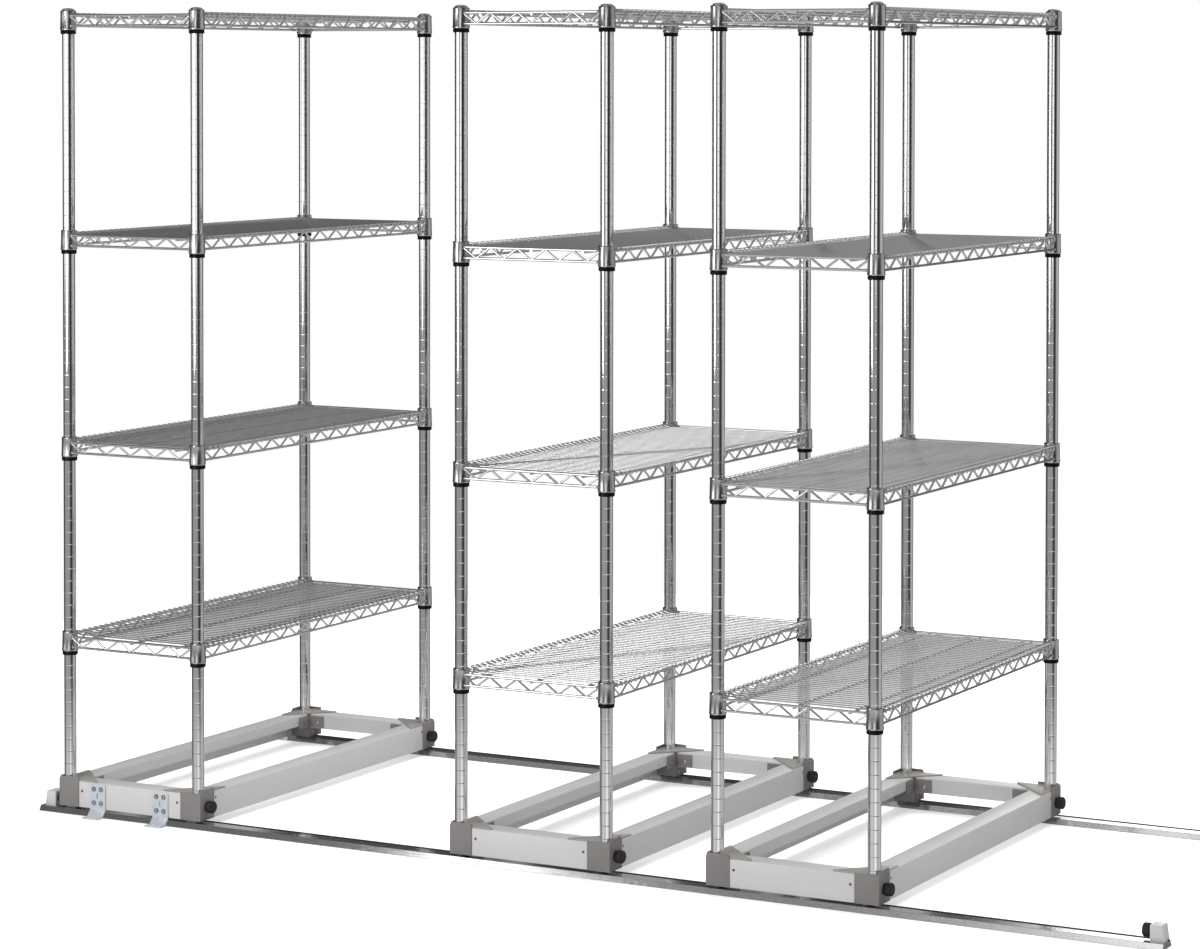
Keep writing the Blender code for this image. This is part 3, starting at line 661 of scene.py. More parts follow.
def casting_walls(out, signs, low_front):
    """The two outer walls in one angle, with the top corners of each wall cut off."""
    (out_x, out_y), (sx, sy) = out, signs
    plan = [(0, 0), (CASTING_SIDE, 0), (CASTING_SIDE, WALL), (WALL, WALL), (WALL, CASTING_SIDE),
            (0, CASTING_SIDE)]
    mesh = prism([(out_x - sx * u, out_y - sy * v) for u, v in plan], WALL_HIGH - RAIL_BOTTOM,
                 Matrix.Translation((0, 0, RAIL_BOTTOM)))
    tools = []
    for run, axis in ((0, "Y"), (1, "X")):
        cross = 1 - run
        place = [out_x, out_y, 0]
        place[cross] = min(out[cross] + signs[cross] * OVERCUT, out[cross] - signs[cross] * (WALL - HAIR))
        for end, inward in ((0, 1), (CASTING_SIDE, -1)):
            wedge = [(end - inward * OVERCUT, WALL_HIGH - CLIP - OVERCUT),
                     (end - inward * OVERCUT, WALL_HIGH + OVERCUT),
                     (end + inward * (CLIP + OVERCUT), WALL_HIGH + OVERCUT)]
            outline = [(-signs[run] * u, v) for u, v in wedge]
            tools.append(prism(outline, WALL + OVERCUT - HAIR, lying(axis, place)))
    if low_front:
        near = (out_x - sx * WALL, out_y + sy * OVERCUT, RAIL_TOP + GUSSET_THICK)
        far = (out_x - sx * (CASTING_SIDE + OVERCUT), out_y - sy * (WALL + OVERCUT), WALL_HIGH + OVERCUT)
        tools.append(slab(near, far))
    return eased(cut(mesh, tools), WALL_EASE)


print("the walls stand", round((WALL_HIGH - RAIL_TOP) * 1000, 1), "mm above the rails")

# %% The block and its pocket
BLOCK_INSET, BLOCK_EASE = 0.0004, 0.0012
POCKET_MARGIN, POCKET_PLAY, POCKET_BELOW = 0.002, 0.0004, 0.01


def casting_block(unit, corner, rolling):
    """The casting's solid corner, open below where its wheel turns."""
    spot, (sx, sy) = post_axis(unit, corner), CORNERS[corner]
    far, near = CASTING_OUT - BLOCK_INSET, CASTING_IN - BLOCK_INSET
    block = slab((spot.x + sx * far, spot.y + sy * far, RAIL_BOTTOM),
                 (spot.x - sx * near, spot.y - sy * near, RAIL_TOP), BLOCK_EASE)
    if not rolling:
        return block
    low, high = node_box(f"{unit}_wheel_{corner}")
    margin = Vector((POCKET_MARGIN, POCKET_PLAY, POCKET_MARGIN))
    return cut(block, [slab(low - margin - Vector((0, 0, POCKET_BELOW)), high + margin)])


# %% Castings
LEG_LENGTH, LEG_HEIGHT, LEG_TUCK, LEG_EASE = 0.038, 0.027, 0.004, 0.0006
LEG_PLAY = 0.0003
FOOT_HALF, FOOT_PLUG, FOOT_EASE = 0.012, 0.004, 0.0008
leg_top = RAIL_TOP - WALL - LEG_PLAY
web = CASTING_IN - (RAIL_WIDTH - RAIL_OUT + LEG_PLAY)
for unit, body, corner, (sx, sy), spot in every_corner():
    node = f"{unit}_casting_{corner}"
    rolling = unit != "unit_1"
    out = (spot.x + sx * CASTING_OUT, spot.y + sy * CASTING_OUT)
    in_x, in_y = spot.x - sx * CASTING_IN, spot.y - sy * CASTING_IN
    meshes = [casting_block(unit, corner, rolling), casting_walls(out, (sx, sy), sx > 0 > sy)]
    for a, b in (((in_x + sx * LEG_TUCK, in_y), (in_x - sx * LEG_LENGTH, in_y + sy * web)),
                 ((in_x, in_y + sy * LEG_TUCK), (in_x + sx * web, in_y - sy * LEG_LENGTH))):
        meshes.append(slab((*a, leg_top - LEG_HEIGHT), (*b, leg_top), LEG_EASE))
    if not rolling:
        middle = (out[0] + in_x) / 2
        meshes.append(slab((middle - FOOT_HALF, spot.y - FOOT_HALF, node_box(node)[0].z),
                           (middle + FOOT_HALF, spot.y + FOOT_HALF, RAIL_BOTTOM + FOOT_PLUG), FOOT_EASE))
    piece(f"{node}_body", body, meshes, CASTING_METAL, [node])
print(len(UNITS) * len(CORNERS), "castings,", round(CASTING_SIDE * 1000, 1), "mm square")

# %% [markdown]
# ## Rails
# The rails are channels open below. Their top folds have a small radius, which catches a thin light
# line in the photograph. The outline is pushed along the rail, and its edges are rounded in three steps.
# Across each corner lies a flat gusset plate, a triangle with blunt tips.

# %% Rails
RAIL_WALL = 0.003
FOLD, FOLD_STEPS = 0.0012, 3


def channel(width, outer_drop, inner_drop):
    """A channel's outline, from its outer wall at zero and its top at zero."""
    inner = width - RAIL_WALL
    return [(0, 0), (width, 0), (width, -inner_drop), (inner, -inner_drop), (inner, -RAIL_WALL),
            (RAIL_WALL, -RAIL_WALL), (RAIL_WALL, -outer_drop), (0, -outer_drop)]


FULL_DROP, SHORT_LIP, LONG_LIP = RAIL_TOP - RAIL_BOTTOM, 0.032, 0.023
SIDES = (("front", "X", 1, (FULL_DROP, SHORT_LIP)), ("rear", "X", -1, (SHORT_LIP, SHORT_LIP)),
         ("left", "Y", 1, (FULL_DROP, LONG_LIP)), ("right", "Y", -1, (FULL_DROP, LONG_LIP)))
for unit, body in UNITS.items():
    for side, axis, sign, drops in SIDES:
        node = f"{unit}_rail_{side}"
        low, high = node_box(node)
        run = 0 if axis == "X" else 1
        cross = 1 - run
        start = [0, 0, high.z]
        start[run] = low[run]
        start[cross] = low[cross] if sign > 0 else high[cross]
        outline = [(sign * u, v) for u, v in channel(RAIL_WIDTH, *drops)]
        mesh = prism(outline, high[run] - low[run], lying(axis, start), FOLD, FOLD_STEPS)
        piece(f"{node}_channel", body, [mesh], RAIL_METAL, [node])
print(len(UNITS) * len(SIDES), "rails,", round(FULL_DROP * 1000, 1), "mm high")

# %% Gusset plates on the corners of the rails
GUSSET_EASE = 0.0004
back = -(CASTING_OUT - WALL)
triangle = [(back, back), (GUSSET_REACH, back), (GUSSET_REACH, back + GUSSET_TIP),
            (back + GUSSET_TIP, GUSSET_REACH), (back, GUSSET_REACH)]
for unit, body, corner, (sx, sy), spot in every_corner():
    outline = [(-sx * u, -sy * v) for u, v in triangle]
    place = Matrix.Translation((spot.x, spot.y, RAIL_TOP + GUSSET_LIFT))
    plate = prism(outline, GUSSET_THICK, place, GUSSET_EASE)
    piece(f"{unit}_gusset_{corner}", body, [plate], PLATE_METAL)
print(len(UNITS) * len(CORNERS), "gusset plates")

# %% [markdown]
# ## Screws
# Every screw is the same low pan head: a short cylinder under a flattened dome. A tree puts one on each
# point of a mesh and turns it to face a direction, so that each group of screws is only a list of places.

# %% The screw tree
screw_tree = bpy.data.node_groups.new("pan_head_screws", "GeometryNodeTree")
g, wire = tree_inputs(screw_tree, Radius="number", Rise="number", Facing="vector", Finish="finish")
SCREW_SIDES, DOME_RINGS = 16, 8
DOME_WIDTH, DOME_FLATNESS, DOME_LIFT = 0.94, 0.42, 0.35
head = g.node("GeometryNodeMeshCylinder", None,
              {"Vertices": SCREW_SIDES, "Radius": wire["Radius"], "Depth": wire["Rise"]})
dome = g.node("GeometryNodeMeshUVSphere", None,
              {"Segments": SCREW_SIDES, "Rings": DOME_RINGS, "Radius": wire["Radius"] * DOME_WIDTH})
dome = g.node("GeometryNodeTransform", None, {"Geometry": dome, "Scale": (1, 1, DOME_FLATNESS)})
lift = g.node("ShaderNodeCombineXYZ", None, {"Z": wire["Rise"] * DOME_LIFT})
dome = g.node("GeometryNodeSetPosition", None, {"Geometry": dome, "Offset": lift})
head = g.node("GeometryNodeJoinGeometry", None, {"Geometry": head})
g.tree.links.new(dome.socket, head.socket.node.inputs["Geometry"])
turn = g.node("FunctionNodeAlignRotationToVector", {"axis": "Z"}, {"Vector": wire["Facing"]})
heads = g.node("GeometryNodeInstanceOnPoints", None,
               {"Points": wire["Geometry"], "Instance": head, "Rotation": turn})
tree_output(g, heads, wire["Finish"])


def screws(spots, facing, radius, rise, finish):
    """Pan head screws standing on the given places."""
    return built(screw_tree, spots, [], Radius=radius, Rise=rise, Facing=Vector(facing), Finish=finish)


print("the screw tree has", len(screw_tree.nodes), "nodes")

# %% Screws on the rails and castings
RAIL_SCREW, RAIL_SCREW_IN, RAIL_SCREW_DOWN, RAIL_SCREW_RISE = 0.0026, 0.0085, 0.020, 0.0012
SIDE_SCREW_IN, SIDE_SCREW_DOWN, SIDE_SCREW_RISE = 0.006, 0.013, 0.001
LEG_SCREW, LEG_SCREW_RISE = 0.0045, 0.002
LEG_SCREW_ALONG, LEG_SCREW_DOWN = 0.022, 0.55
BLOCK_SCREW_BACK, BLOCK_SCREW_UP = 0.012, 0.010
for unit, body in UNITS.items():
    low, high = node_box(f"{unit}_rail_front")
    height = high.z - RAIL_SCREW_DOWN
    spots = [(low.x + RAIL_SCREW_IN, low.y, height), (high.x - RAIL_SCREW_IN, low.y, height)]
    front = screws(spots, (0, -1, 0), RAIL_SCREW, RAIL_SCREW_RISE, DARK_SCREW)
    piece(f"{unit}_rail_front_screws", body, [front], DARK_SCREW)
    for corner, (sx, sy) in CORNERS.items():
        spot = post_axis(unit, corner)
        in_x, in_y = spot.x - sx * CASTING_IN, spot.y - sy * CASTING_IN
        mid = RAIL_TOP - WALL - LEG_SCREW_DOWN * LEG_HEIGHT
        places = (((in_x - sx * LEG_SCREW_ALONG, in_y, mid), (0, -sy, 0)),
                  ((in_x, in_y - sy * LEG_SCREW_ALONG, mid), (-sx, 0, 0)),
                  ((in_x, in_y + sy * BLOCK_SCREW_BACK, RAIL_BOTTOM + BLOCK_SCREW_UP), (-sx, 0, 0)))
        meshes = [screws([place], facing, LEG_SCREW, LEG_SCREW_RISE, SCREW_STEEL) for place, facing in places]
        side = node_box(f"{unit}_rail_{'right' if sx > 0 else 'left'}")
        face = side[1].x if sx > 0 else side[0].x
        place = (face, in_y - sy * SIDE_SCREW_IN, RAIL_TOP - SIDE_SCREW_DOWN)
        meshes.append(screws([place], (sx, 0, 0), RAIL_SCREW, SIDE_SCREW_RISE, SCREW_STEEL))
        piece(f"{unit}_casting_{corner}_screws", body, meshes, SCREW_STEEL)
print("four screws at each of", len(UNITS) * len(CORNERS), "corners, and two on each front rail")

# %% [markdown]
# ## Bumpers
# A rubber bumper on each right-hand casting and on each end stop takes the knock when two units meet.
# It is turned with an eased rim and a shallow cup, which gives the darker ring in the photograph.

# %% Bumpers
BUMPER_RADIUS, BUMPER_LENGTH, BUMPER_SIDES = 0.0125, 0.017, 28
STEM_RADIUS, STEM_SINK, STEM_END = 0.0105, 0.001, 0.003
HEAD_START, HEAD_ROUND, HEAD_FULL = 0.0035, 0.0012, 0.005
RIM_EASE, CUP_RADIUS, CUP_EDGE, CUP_DEPTH = 0.002, 0.006, 0.0008, 0.0012


def bumper(face, height, y, toward):
    """A rubber bumper whose axis lies along X and that stands on a face."""
    profile = [(0, -STEM_SINK), (STEM_RADIUS, -STEM_SINK), (STEM_RADIUS, STEM_END),
               (BUMPER_RADIUS - HEAD_ROUND, HEAD_START), (BUMPER_RADIUS, HEAD_FULL),
               (BUMPER_RADIUS, BUMPER_LENGTH - RIM_EASE), (BUMPER_RADIUS - RIM_EASE, BUMPER_LENGTH),
               (CUP_RADIUS, BUMPER_LENGTH - CUP_EDGE), (0, BUMPER_LENGTH - CUP_DEPTH)]
    stand = Matrix.Translation((face, y, height)) @ Matrix.Rotation(toward * math.pi / 2, 4, "Y")
    return turned(profile, BUMPER_SIDES, stand)


RIGHT_BUMPER_HEIGHT, STOP_BUMPER_HEIGHT = 0.0425, 0.027
inset = (CASTING_IN - CASTING_OUT) / 2
for unit, body, corner, (sx, sy), spot in every_corner():
    if sx > 0:
        mesh = bumper(spot.x + CASTING_OUT, RIGHT_BUMPER_HEIGHT, spot.y - sy * inset, 1)
        piece(f"{unit}_bumper_{corner}", body, [mesh], RUBBER)
print("bumpers stand", RIGHT_BUMPER_HEIGHT, "m high on the castings and", STOP_BUMPER_HEIGHT, "on the stops")

# %% [markdown]
# ## Wheels
# A wheel in each rolling casting carries the unit, and only shows from below. Its tread is turned to the
# size of its CAD node and rides on the wheel's own body, so it spins. The axle rides on the unit.

# %% Wheels
AXLE_RADIUS, WHEEL_BORE, WHEEL_EASE, AXLE_PAST = 0.004, 0.0044, 0.001, 0.003
WHEEL_SIDES, AXLE_SIDES = 40, 20
for unit in ("unit_2", "unit_3"):
    short = UNITS[unit].split("_")[0]
    for corner in CORNERS:
        node = f"{unit}_wheel_{corner}"
        low, high = node_box(node)
        middle, half = (low + high) / 2, (high.y - low.y) / 2
        radius = (high.z - low.z) / 2
        profile = [(WHEEL_BORE, -half), (radius - WHEEL_EASE, -half), (radius, WHEEL_EASE - half),
                   (radius, half - WHEEL_EASE), (radius - WHEEL_EASE, half), (WHEEL_BORE, half)]
        stand = Matrix.Translation(middle) @ Matrix.Rotation(math.pi / 2, 4, "X")
        mesh = turned(profile, WHEEL_SIDES, stand)
        piece(f"{node}_tread", f"{short}_wheel_{corner}", [mesh], NYLON, [node])
        end = half + AXLE_PAST
        shaft = turned([(0, -end), (AXLE_RADIUS, -end), (AXLE_RADIUS, end), (0, end)], AXLE_SIDES, stand)
        piece(f"{unit}_axle_{corner}", UNITS[unit], [shaft], SCREW_STEEL)
print("a wheel is", round(2000 * radius, 1), "mm across and", round(2000 * half, 1), "mm wide")

# %% [markdown]
# ## Tracks and end stops
# Each track is a low bar with sloping sides and a groove along its far edge. A black strip in the groove is
# painted shade, standing for the dark shadow line along the track. It is pushed along in one piece and
# shaded flat, because a flat slope mirrors one part of the room only. The end stops are small blocks that
# lean at the back, with a bumper that faces the units.

# %% Tracks and end stops
TOP_INSET, TRACK_TOP = 0.006, 0.011
GROOVE_HALF, GROOVE_FLOOR, GROOVE_PLACE, SHADE_STRIP_RISE = 0.002, 0.009, 0.0145, 0.0012
STOP_INSET, STOP_LIFT, STOP_BASE, STOP_TIP = 0.002, 0.001, 0.028, 0.022
STOP_DEPTH, STOP_TOP = 0.031, 0.040
TRACK_EASE, SHADE_STRIP_EASE, STOP_EASE = 0.0005, 0.0004, 0.0008
SHADE_STRIP_END, SHADE_STRIP_SINK = 0.001, 0.0005
for end, sy in (("front", -1), ("rear", 1)):
    node = f"track_{end}"
    low, high = node_box(node)
    line_y = post_axis("unit_1", f"{end}_left").y
    half = high.y - line_y if sy > 0 else line_y - low.y
    far, near = GROOVE_PLACE + GROOVE_HALF, GROOVE_PLACE - GROOVE_HALF
    outline = [(-half, 0), (half, 0), (half - TOP_INSET, TRACK_TOP), (far, TRACK_TOP), (far, GROOVE_FLOOR),
               (near, GROOVE_FLOOR), (near, TRACK_TOP), (TOP_INSET - half, TRACK_TOP)]
    bar = prism(outline, high.x - low.x, lying("X", (low.x, line_y, 0)), TRACK_EASE)
    piece(f"{node}_bar", "anchored_unit", [bar], TRACK_METAL, [node], FLAT_SHARP_ANGLE)
    # Painted shade: a black bar in the far groove, a little proud of the track's top, stands for the shadow
    # line along each track.
    painted_shade_strip = slab((low.x + SHADE_STRIP_END, line_y + near + HAIR, GROOVE_FLOOR - SHADE_STRIP_SINK),
                 (high.x - SHADE_STRIP_END, line_y + far - HAIR, TRACK_TOP + SHADE_STRIP_RISE), SHADE_STRIP_EASE)
    piece(f"{node}_strip", "anchored_unit", [painted_shade_strip], BLACK_PLASTIC)
    for name, sx, tip in (("left", -1, low.x), ("right", 1, high.x)):
        face = tip - sx * (STOP_INSET + STOP_BASE)
        stop_y = line_y - sy * inset
        outline = [(0, STOP_LIFT), (sx * STOP_BASE, STOP_LIFT), (sx * STOP_TIP, STOP_TOP), (0, STOP_TOP)]
        block = prism(outline, STOP_DEPTH, lying("Y", (face, stop_y - STOP_DEPTH / 2, 0)), STOP_EASE)
        piece(f"end_stop_{end}_{name}", "anchored_unit", [block], RAIL_METAL)
        mesh = bumper(face, STOP_BUMPER_HEIGHT, stop_y, -sx)
        piece(f"end_stop_bumper_{end}_{name}", "anchored_unit", [mesh], RUBBER)
    print(node, "is", round(high.x - low.x, 4), "m long and", round(2000 * half, 1), "mm wide")

# %% [markdown]
# ## Anchor brackets
# The left unit is held to the floor by two bent zinc plates, each with four screws round a slot. The
# bends are one outline, pushed along the width of the plate, and the slot is cut through it.

# %% Brackets
BRACKET_THICK, BRACKET_EASE = 0.0025, 0.0005
SHOULDER_OUT, TOE_OUT, BEND_LIFT = 0.0186, 0.0246, 0.0003
TOP_ROW_DOWN, SCREW_ACROSS, SCREW_APART = 0.010, 0.018, 0.029
BRACKET_SCREW, BRACKET_SCREW_RISE = 0.0042, 0.002
WASHER_RADIUS, WASHER_RISE, WASHER_SIDES = 0.0052, 0.0006, 20
SLOT_WIDTH, SLOT_HEIGHT, SLOT_STEPS = 0.0045, 0.013, 4
SLOT_EASE = SLOT_WIDTH / 2 - 0.0001
for side in ("left", "right"):
    node = f"unit_1_bracket_{side}"
    low, high = node_box(node)
    line_y = post_axis("unit_1", "front_left").y
    rear = high.y
    front = rear - BRACKET_THICK
    shoulder, toe = line_y - SHOULDER_OUT, line_y - TOE_OUT
    bend = TRACK_TOP + BEND_LIFT
    outline = [(rear, high.z), (rear, bend), (shoulder, bend), (toe, 0), (low.y, 0), (low.y, BRACKET_THICK),
               (toe - BRACKET_THICK, BRACKET_THICK), (front, bend + BRACKET_THICK), (front, high.z)]
    plate = prism(outline, high.x - low.x, lying("X", (low.x, 0, 0)), BRACKET_EASE)
    middle = (low.x + high.x) / 2
    top_row = high.z - TOP_ROW_DOWN
    slot_middle = top_row - SCREW_APART / 2
    slot = slab((middle - SLOT_WIDTH / 2, front - OVERCUT, slot_middle - SLOT_HEIGHT / 2),
                (middle + SLOT_WIDTH / 2, rear + OVERCUT, slot_middle + SLOT_HEIGHT / 2),
                SLOT_EASE, SLOT_STEPS)
    piece(f"{node}_plate", "anchored_unit", [cut(plate, [slot])], ZINC, [node])
    spots = [(middle + a * SCREW_ACROSS / 2, front, top_row - b * SCREW_APART)
             for a in (-1, 1) for b in (0, 1)]
    heads = screws(spots, (0, -1, 0), BRACKET_SCREW, BRACKET_SCREW_RISE, SCREW_STEEL)
    washer = [(0, -HAIR), (WASHER_RADIUS, -HAIR), (WASHER_RADIUS, WASHER_RISE), (0, WASHER_RISE)]
    washers = [turned(washer, WASHER_SIDES,
                      Matrix.Translation(spot) @ Matrix.Rotation(math.pi / 2, 4, "X")) for spot in spots]
    piece(f"{node}_screws", "anchored_unit", [heads], SCREW_STEEL)
    piece(f"{node}_washers", "anchored_unit", washers, DARK_SCREW)
    print(node, "has", len(spots), "screws")

# %% [markdown]
# ## The studio that the chrome mirrors
# Chrome shows its surroundings, so the studio matters more than the lamps. A photographer stands white
# and grey cards round a chrome object, and each post mirrors them as upright bands. Here the cards are
# parts of the world, told apart by their bearing, which is zero towards the camera and grows to its
# right, and by height. Where a pair of numbers is given, the card's edge fades between them. Only glossy
# rays see the cards. Plain surfaces see an even pale room, and the camera sees white.

# %% Directions and cards
CAMERA_BEARING = math.atan2(CAMERA_PLACE.y, CAMERA_PLACE.x)
world = bpy.data.worlds.new("studio")
bpy.context.scene.world = world
world.use_nodes = True
g = Graph(world.node_tree)
way = g.node("ShaderNodeTexCoord", output="Generated")
parts = g.node("ShaderNodeSeparateXYZ", None, {"Vector": way}).socket.node.outputs
axes = [Term(g, part) for part in parts]
toward = axes[0] * math.cos(CAMERA_BEARING) + axes[1] * math.sin(CAMERA_BEARING)
rightward = axes[1] * math.cos(CAMERA_BEARING) - axes[0] * math.sin(CAMERA_BEARING)
bearing = rightward.math("ARCTAN2", toward)


def rising(value, band):
    """0 below a band, 1 above it and smooth between."""
    return g.node("ShaderNodeMapRange", {"interpolation_type": "SMOOTHSTEP"},
                  {"Value": value, "From Min": band[0], "From Max": band[1], "To Min": 0.0, "To Max": 1.0})


def falling(value, band):
    """1 below a band, 0 above it and smooth between."""
    return 1 - rising(value, band)


def between(value, rise, fall):
    """1 between a rising and a falling band, and 0 outside both."""
    return rising(value, rise) * falling(value, fall)


def card(rise, fall, level):
    """A card that brightens between two bearings in degrees and fades between two more."""
    rise, fall = [[math.radians(degrees) for degrees in pair] for pair in (rise, fall)]
    return between(bearing, rise, fall) * level


def blended(first, second, share):
    """The first level where the share is 0, and the second where it is 1."""
    return share * second + (1 - share) * first


print("the camera is at", round(math.degrees(CAMERA_BEARING), 1), "degrees round the object")

# %% [markdown]
# ## Cards round the horizon and on the floor
# A ray that meets an upright post keeps its slope, so the slope says which part of the room the post
# mirrors. In the photograph the posts' feet mirror the floor, their middles the far floor and their tops
# the horizon, and the near floor only shows from higher up. Each has two or three cards, on the left, on
# the right and near the camera. A rear card gives the posts a light band when they are seen from behind.

# %% Cards below the ceiling
HORIZON_DARK, FAR_FLOOR_DARK, FLOOR_DARK, NEAR_FLOOR_DARK = 0.03, 0.04, 0.1, 0.12
UNDER_LEVEL, REAR_LEVEL = 0.34, 0.8
UNDER_BAND, NEAR_BAND, FLOOR_BAND = (-0.95, -0.80), (-0.40, -0.28), (-0.205, -0.165)
HORIZON_BAND, REAR_TOP = (-0.072, -0.045), (-0.09, -0.05)
REAR_EDGE = (math.radians(152), math.radians(162))
horizon = (card((-104, -86), (-60, -46), 1.0) + card((-40, -12), (2, 13), 0.95)
           + card((40, 85), (110, 138), 0.48) + HORIZON_DARK)
far_floor = card((-110, -75), (0, 25), 0.26) + card((48, 76), (112, 138), 0.36) + FAR_FLOOR_DARK
floor_light = (card((-120, -60), (112, 142), 0.38) + card((-12, 4), (22, 38), 0.42)
               + card((-80, -58), (-35, -15), 0.12) + FLOOR_DARK)
near_floor = card((-90, -55), (-12, 8), 0.62) + card((40, 60), (110, 150), 0.38) + NEAR_FLOOR_DARK
mirror = blended(floor_light, far_floor, rising(axes[2], FLOOR_BAND))
mirror = blended(mirror, horizon, rising(axes[2], HORIZON_BAND))
mirror = blended(near_floor, mirror, rising(axes[2], NEAR_BAND))
rear_card = rising(bearing.math("ABSOLUTE"), REAR_EDGE) * falling(axes[2], REAR_TOP)
mirror = blended(mirror, REAR_LEVEL, rear_card)
mirror = blended(UNDER_LEVEL, mirror, rising(axes[2], UNDER_BAND))
print("the world has", len(world.node_tree.nodes), "nodes so far")

# %% [markdown]
# ## The ceiling
# The tops of a shelf's wires mirror the ceiling. A wire that runs along X keeps the sideways part of
# each ray, so each unit mirrors its own strip of the ceiling: a dark one for the left unit and a grey
# one for the right unit. High overhead the strips differ less. A card there shows in the slope of the
# front track, near its right end. A low lamp stands a little to the left of the camera, and a low card
# on the far side shows in level tops. Behind the object the ceiling starts higher, because level tops
# mirror that side too and the photograph keeps most of them dark.

# %% Ceiling, low lamp and far card
LEFT_CEILING, RIGHT_CEILING, DARK_CEILING = 0.05, 0.42, 0.05
STRIP_EDGE, DARK_EDGE, CEILING_BAND = (-0.50, -0.42), (-0.25, -0.05), (0.06, 0.12)
LEFT_TOP, RIGHT_TOP, TOP_EDGE, TOP_BAND = 0.17, 0.24, (-0.56, -0.50), (0.50, 0.62)
GLOW_LEVEL, GLOW_LEFT, GLOW_RIGHT, GLOW_TOP = 1.7, (-0.365, -0.34), (-0.15, -0.10), (0.72, 0.80)
LAMP_LEVEL, LAMP_LEFT, LAMP_RIGHT, LAMP_TOP = 1.8, (-0.40, -0.33), (-0.12, -0.05), (0.26, 0.32)
SIDE_LEVEL, SIDE_LEFT, SIDE_RIGHT = 2.6, (2.76, 2.82), (3.00, 3.05)
SIDE_FOOT, SIDE_TOP = (0.06, 0.09), (0.30, 0.36)
BEHIND_BAND, BEHIND_RISE = (-0.3, 0.1), 0.24
behind = rising(axes[1], BEHIND_BAND)
ceiling = blended(LEFT_CEILING, RIGHT_CEILING, rising(axes[0], STRIP_EDGE))
ceiling = blended(ceiling, DARK_CEILING, rising(axes[0], DARK_EDGE))
overhead = blended(LEFT_TOP, RIGHT_TOP, rising(axes[0], TOP_EDGE))
glow = between(axes[0], GLOW_LEFT, GLOW_RIGHT) * (1 - behind)
overhead = blended(overhead, GLOW_LEVEL, glow * falling(axes[2], GLOW_TOP))
ceiling = blended(ceiling, overhead, rising(axes[2], TOP_BAND))
lamp = between(bearing, LAMP_LEFT, LAMP_RIGHT) * falling(axes[2], LAMP_TOP)
ceiling = blended(ceiling, LAMP_LEVEL, lamp)
mirror = blended(mirror, ceiling, rising(axes[2] - behind * BEHIND_RISE, CEILING_BAND))
side_card = between(axes[2], SIDE_FOOT, SIDE_TOP) * between(bearing, SIDE_LEFT, SIDE_RIGHT)
mirror = blended(mirror, SIDE_LEVEL, side_card)
print("the world has", len(world.node_tree.nodes), "nodes with the ceiling")

# %% Which rays see what
ROOM_LEVEL = 0.62
rays = g.node("ShaderNodeLightPath")
camera_ray = Term(g, rays.socket.node.outputs["Is Camera Ray"])
glossy_ray = Term(g, rays.socket.node.outputs["Is Glossy Ray"])
colour = g.node("ShaderNodeCombineColor", None, {"Red": mirror, "Green": mirror, "Blue": mirror})
room, mirrored_room, white = [
    g.node("ShaderNodeBackground", None, {"Color": shade, "Strength": level})
    for shade, level in (((1, 1, 1, 1), ROOM_LEVEL), (colour, 1.0), ((1, 1, 1, 1), 1.0))]
seen = g.node("ShaderNodeMixShader", None, {0: glossy_ray, 1: room, 2: mirrored_room})
seen = g.node("ShaderNodeMixShader", None, {0: camera_ray, 1: seen, 2: white})
g.node("ShaderNodeOutputWorld", None, {"Surface": seen})
print("plain surfaces see a room at", ROOM_LEVEL, "of white")

# %% [markdown]
# ## Floor
# The floor is a plain pale disc that keeps the object's shadow. It has a little light of its own for the
# camera alone, so that it joins the white background, and the chrome mirrors the studio's cards in its
# place.

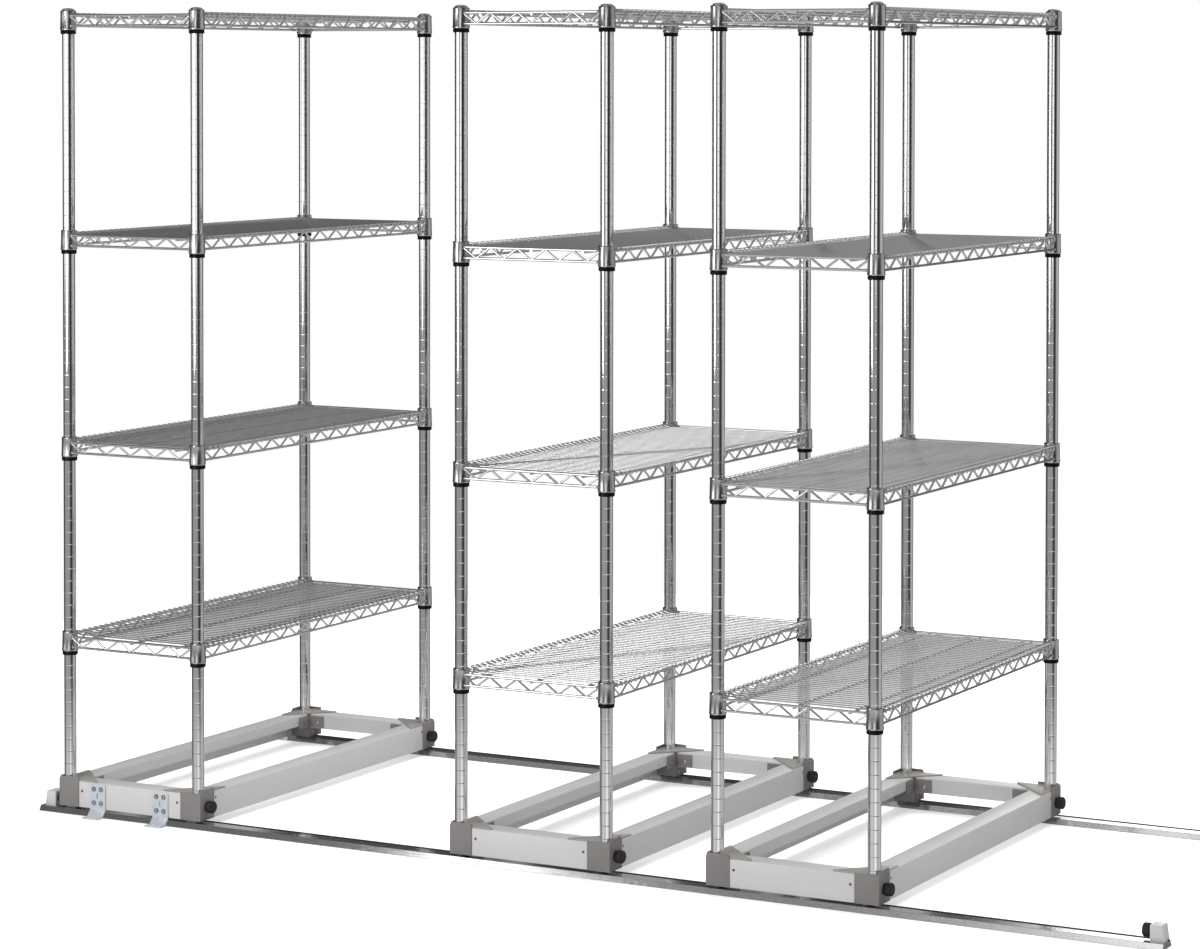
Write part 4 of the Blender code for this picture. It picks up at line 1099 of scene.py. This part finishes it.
# %% Floor disc
FLOOR_RADIUS, FLOOR_SIDES, FLOOR_GAP = 3.2, 96, 0.0006
FLOOR_GREY = 0.8
FLOOR_LIFT = 0.45
floor_material = bpy.data.materials.new("white_floor")
floor_material.use_nodes = True
g = Graph(floor_material.node_tree)
rays = g.node("ShaderNodeLightPath")
shown = Term(g, rays.socket.node.outputs["Is Camera Ray"])
matt = g.node("ShaderNodeBsdfDiffuse", None, {"Color": (FLOOR_GREY, FLOOR_GREY, FLOOR_GREY, 1)})
glow = g.node("ShaderNodeEmission", None, {"Color": (1, 1, 1, 1), "Strength": FLOOR_LIFT})
nothing = g.node("ShaderNodeEmission", None, {"Strength": 0.0})
glow = g.node("ShaderNodeMixShader", None, {0: shown, 1: nothing, 2: glow})
g.node("ShaderNodeOutputMaterial", None, {"Surface": g.node("ShaderNodeAddShader", None, {0: matt, 1: glow})})
disc = bmesh.new()
bmesh.ops.create_circle(disc, cap_ends=True, radius=FLOOR_RADIUS, segments=FLOOR_SIDES)
floor_mesh = bpy.data.meshes.new("floor")
disc.to_mesh(floor_mesh)
disc.free()
floor_mesh.transform(Matrix.Translation((0, 0, -FLOOR_GAP)))
floor_mesh.materials.append(floor_material)
floor = linked("floor", floor_mesh)
floor.visible_glossy = False
print("the floor is", 2 * FLOOR_RADIUS, "m across")

# %% [markdown]
# ## Lamps
# Two big soft lamps light the plain surfaces, one overhead and a weaker one in front. The chrome doesn't
# mirror them. A third, smaller one is mirrored, and stands where the wires of the middle unit show it,
# which makes that unit's shelves the palest, as in the photograph.

# %% Lamps
def softbox(name, place, aim, width, height, watts, mirrored=False):
    """An area lamp that looks at a point; the chrome mirrors it only where asked."""
    lamp = bpy.data.lights.new(name, "AREA")
    lamp.shape, lamp.size, lamp.size_y, lamp.energy = "RECTANGLE", width, height, watts
    item = linked(name, lamp)
    item.location = place
    item.rotation_euler = (Vector(aim) - Vector(place)).to_track_quat("-Z", "Y").to_euler()
    item.visible_glossy = mirrored


softbox("overhead_softbox", (0.2, 1.4, 4.2), (0, 0.1, 0.4), 3.0, 3.0, 150)
softbox("front_softbox", (-1.5, -4.5, 3.0), (0, 0, 0.8), 2.5, 2.5, 70)
softbox("shelf_card", (-1.42, -2.5, 1.22), (0.1, 0, 0.7), 0.75, 0.95, 11, mirrored=True)
print("lamps:", sorted(light.name for light in bpy.data.lights))
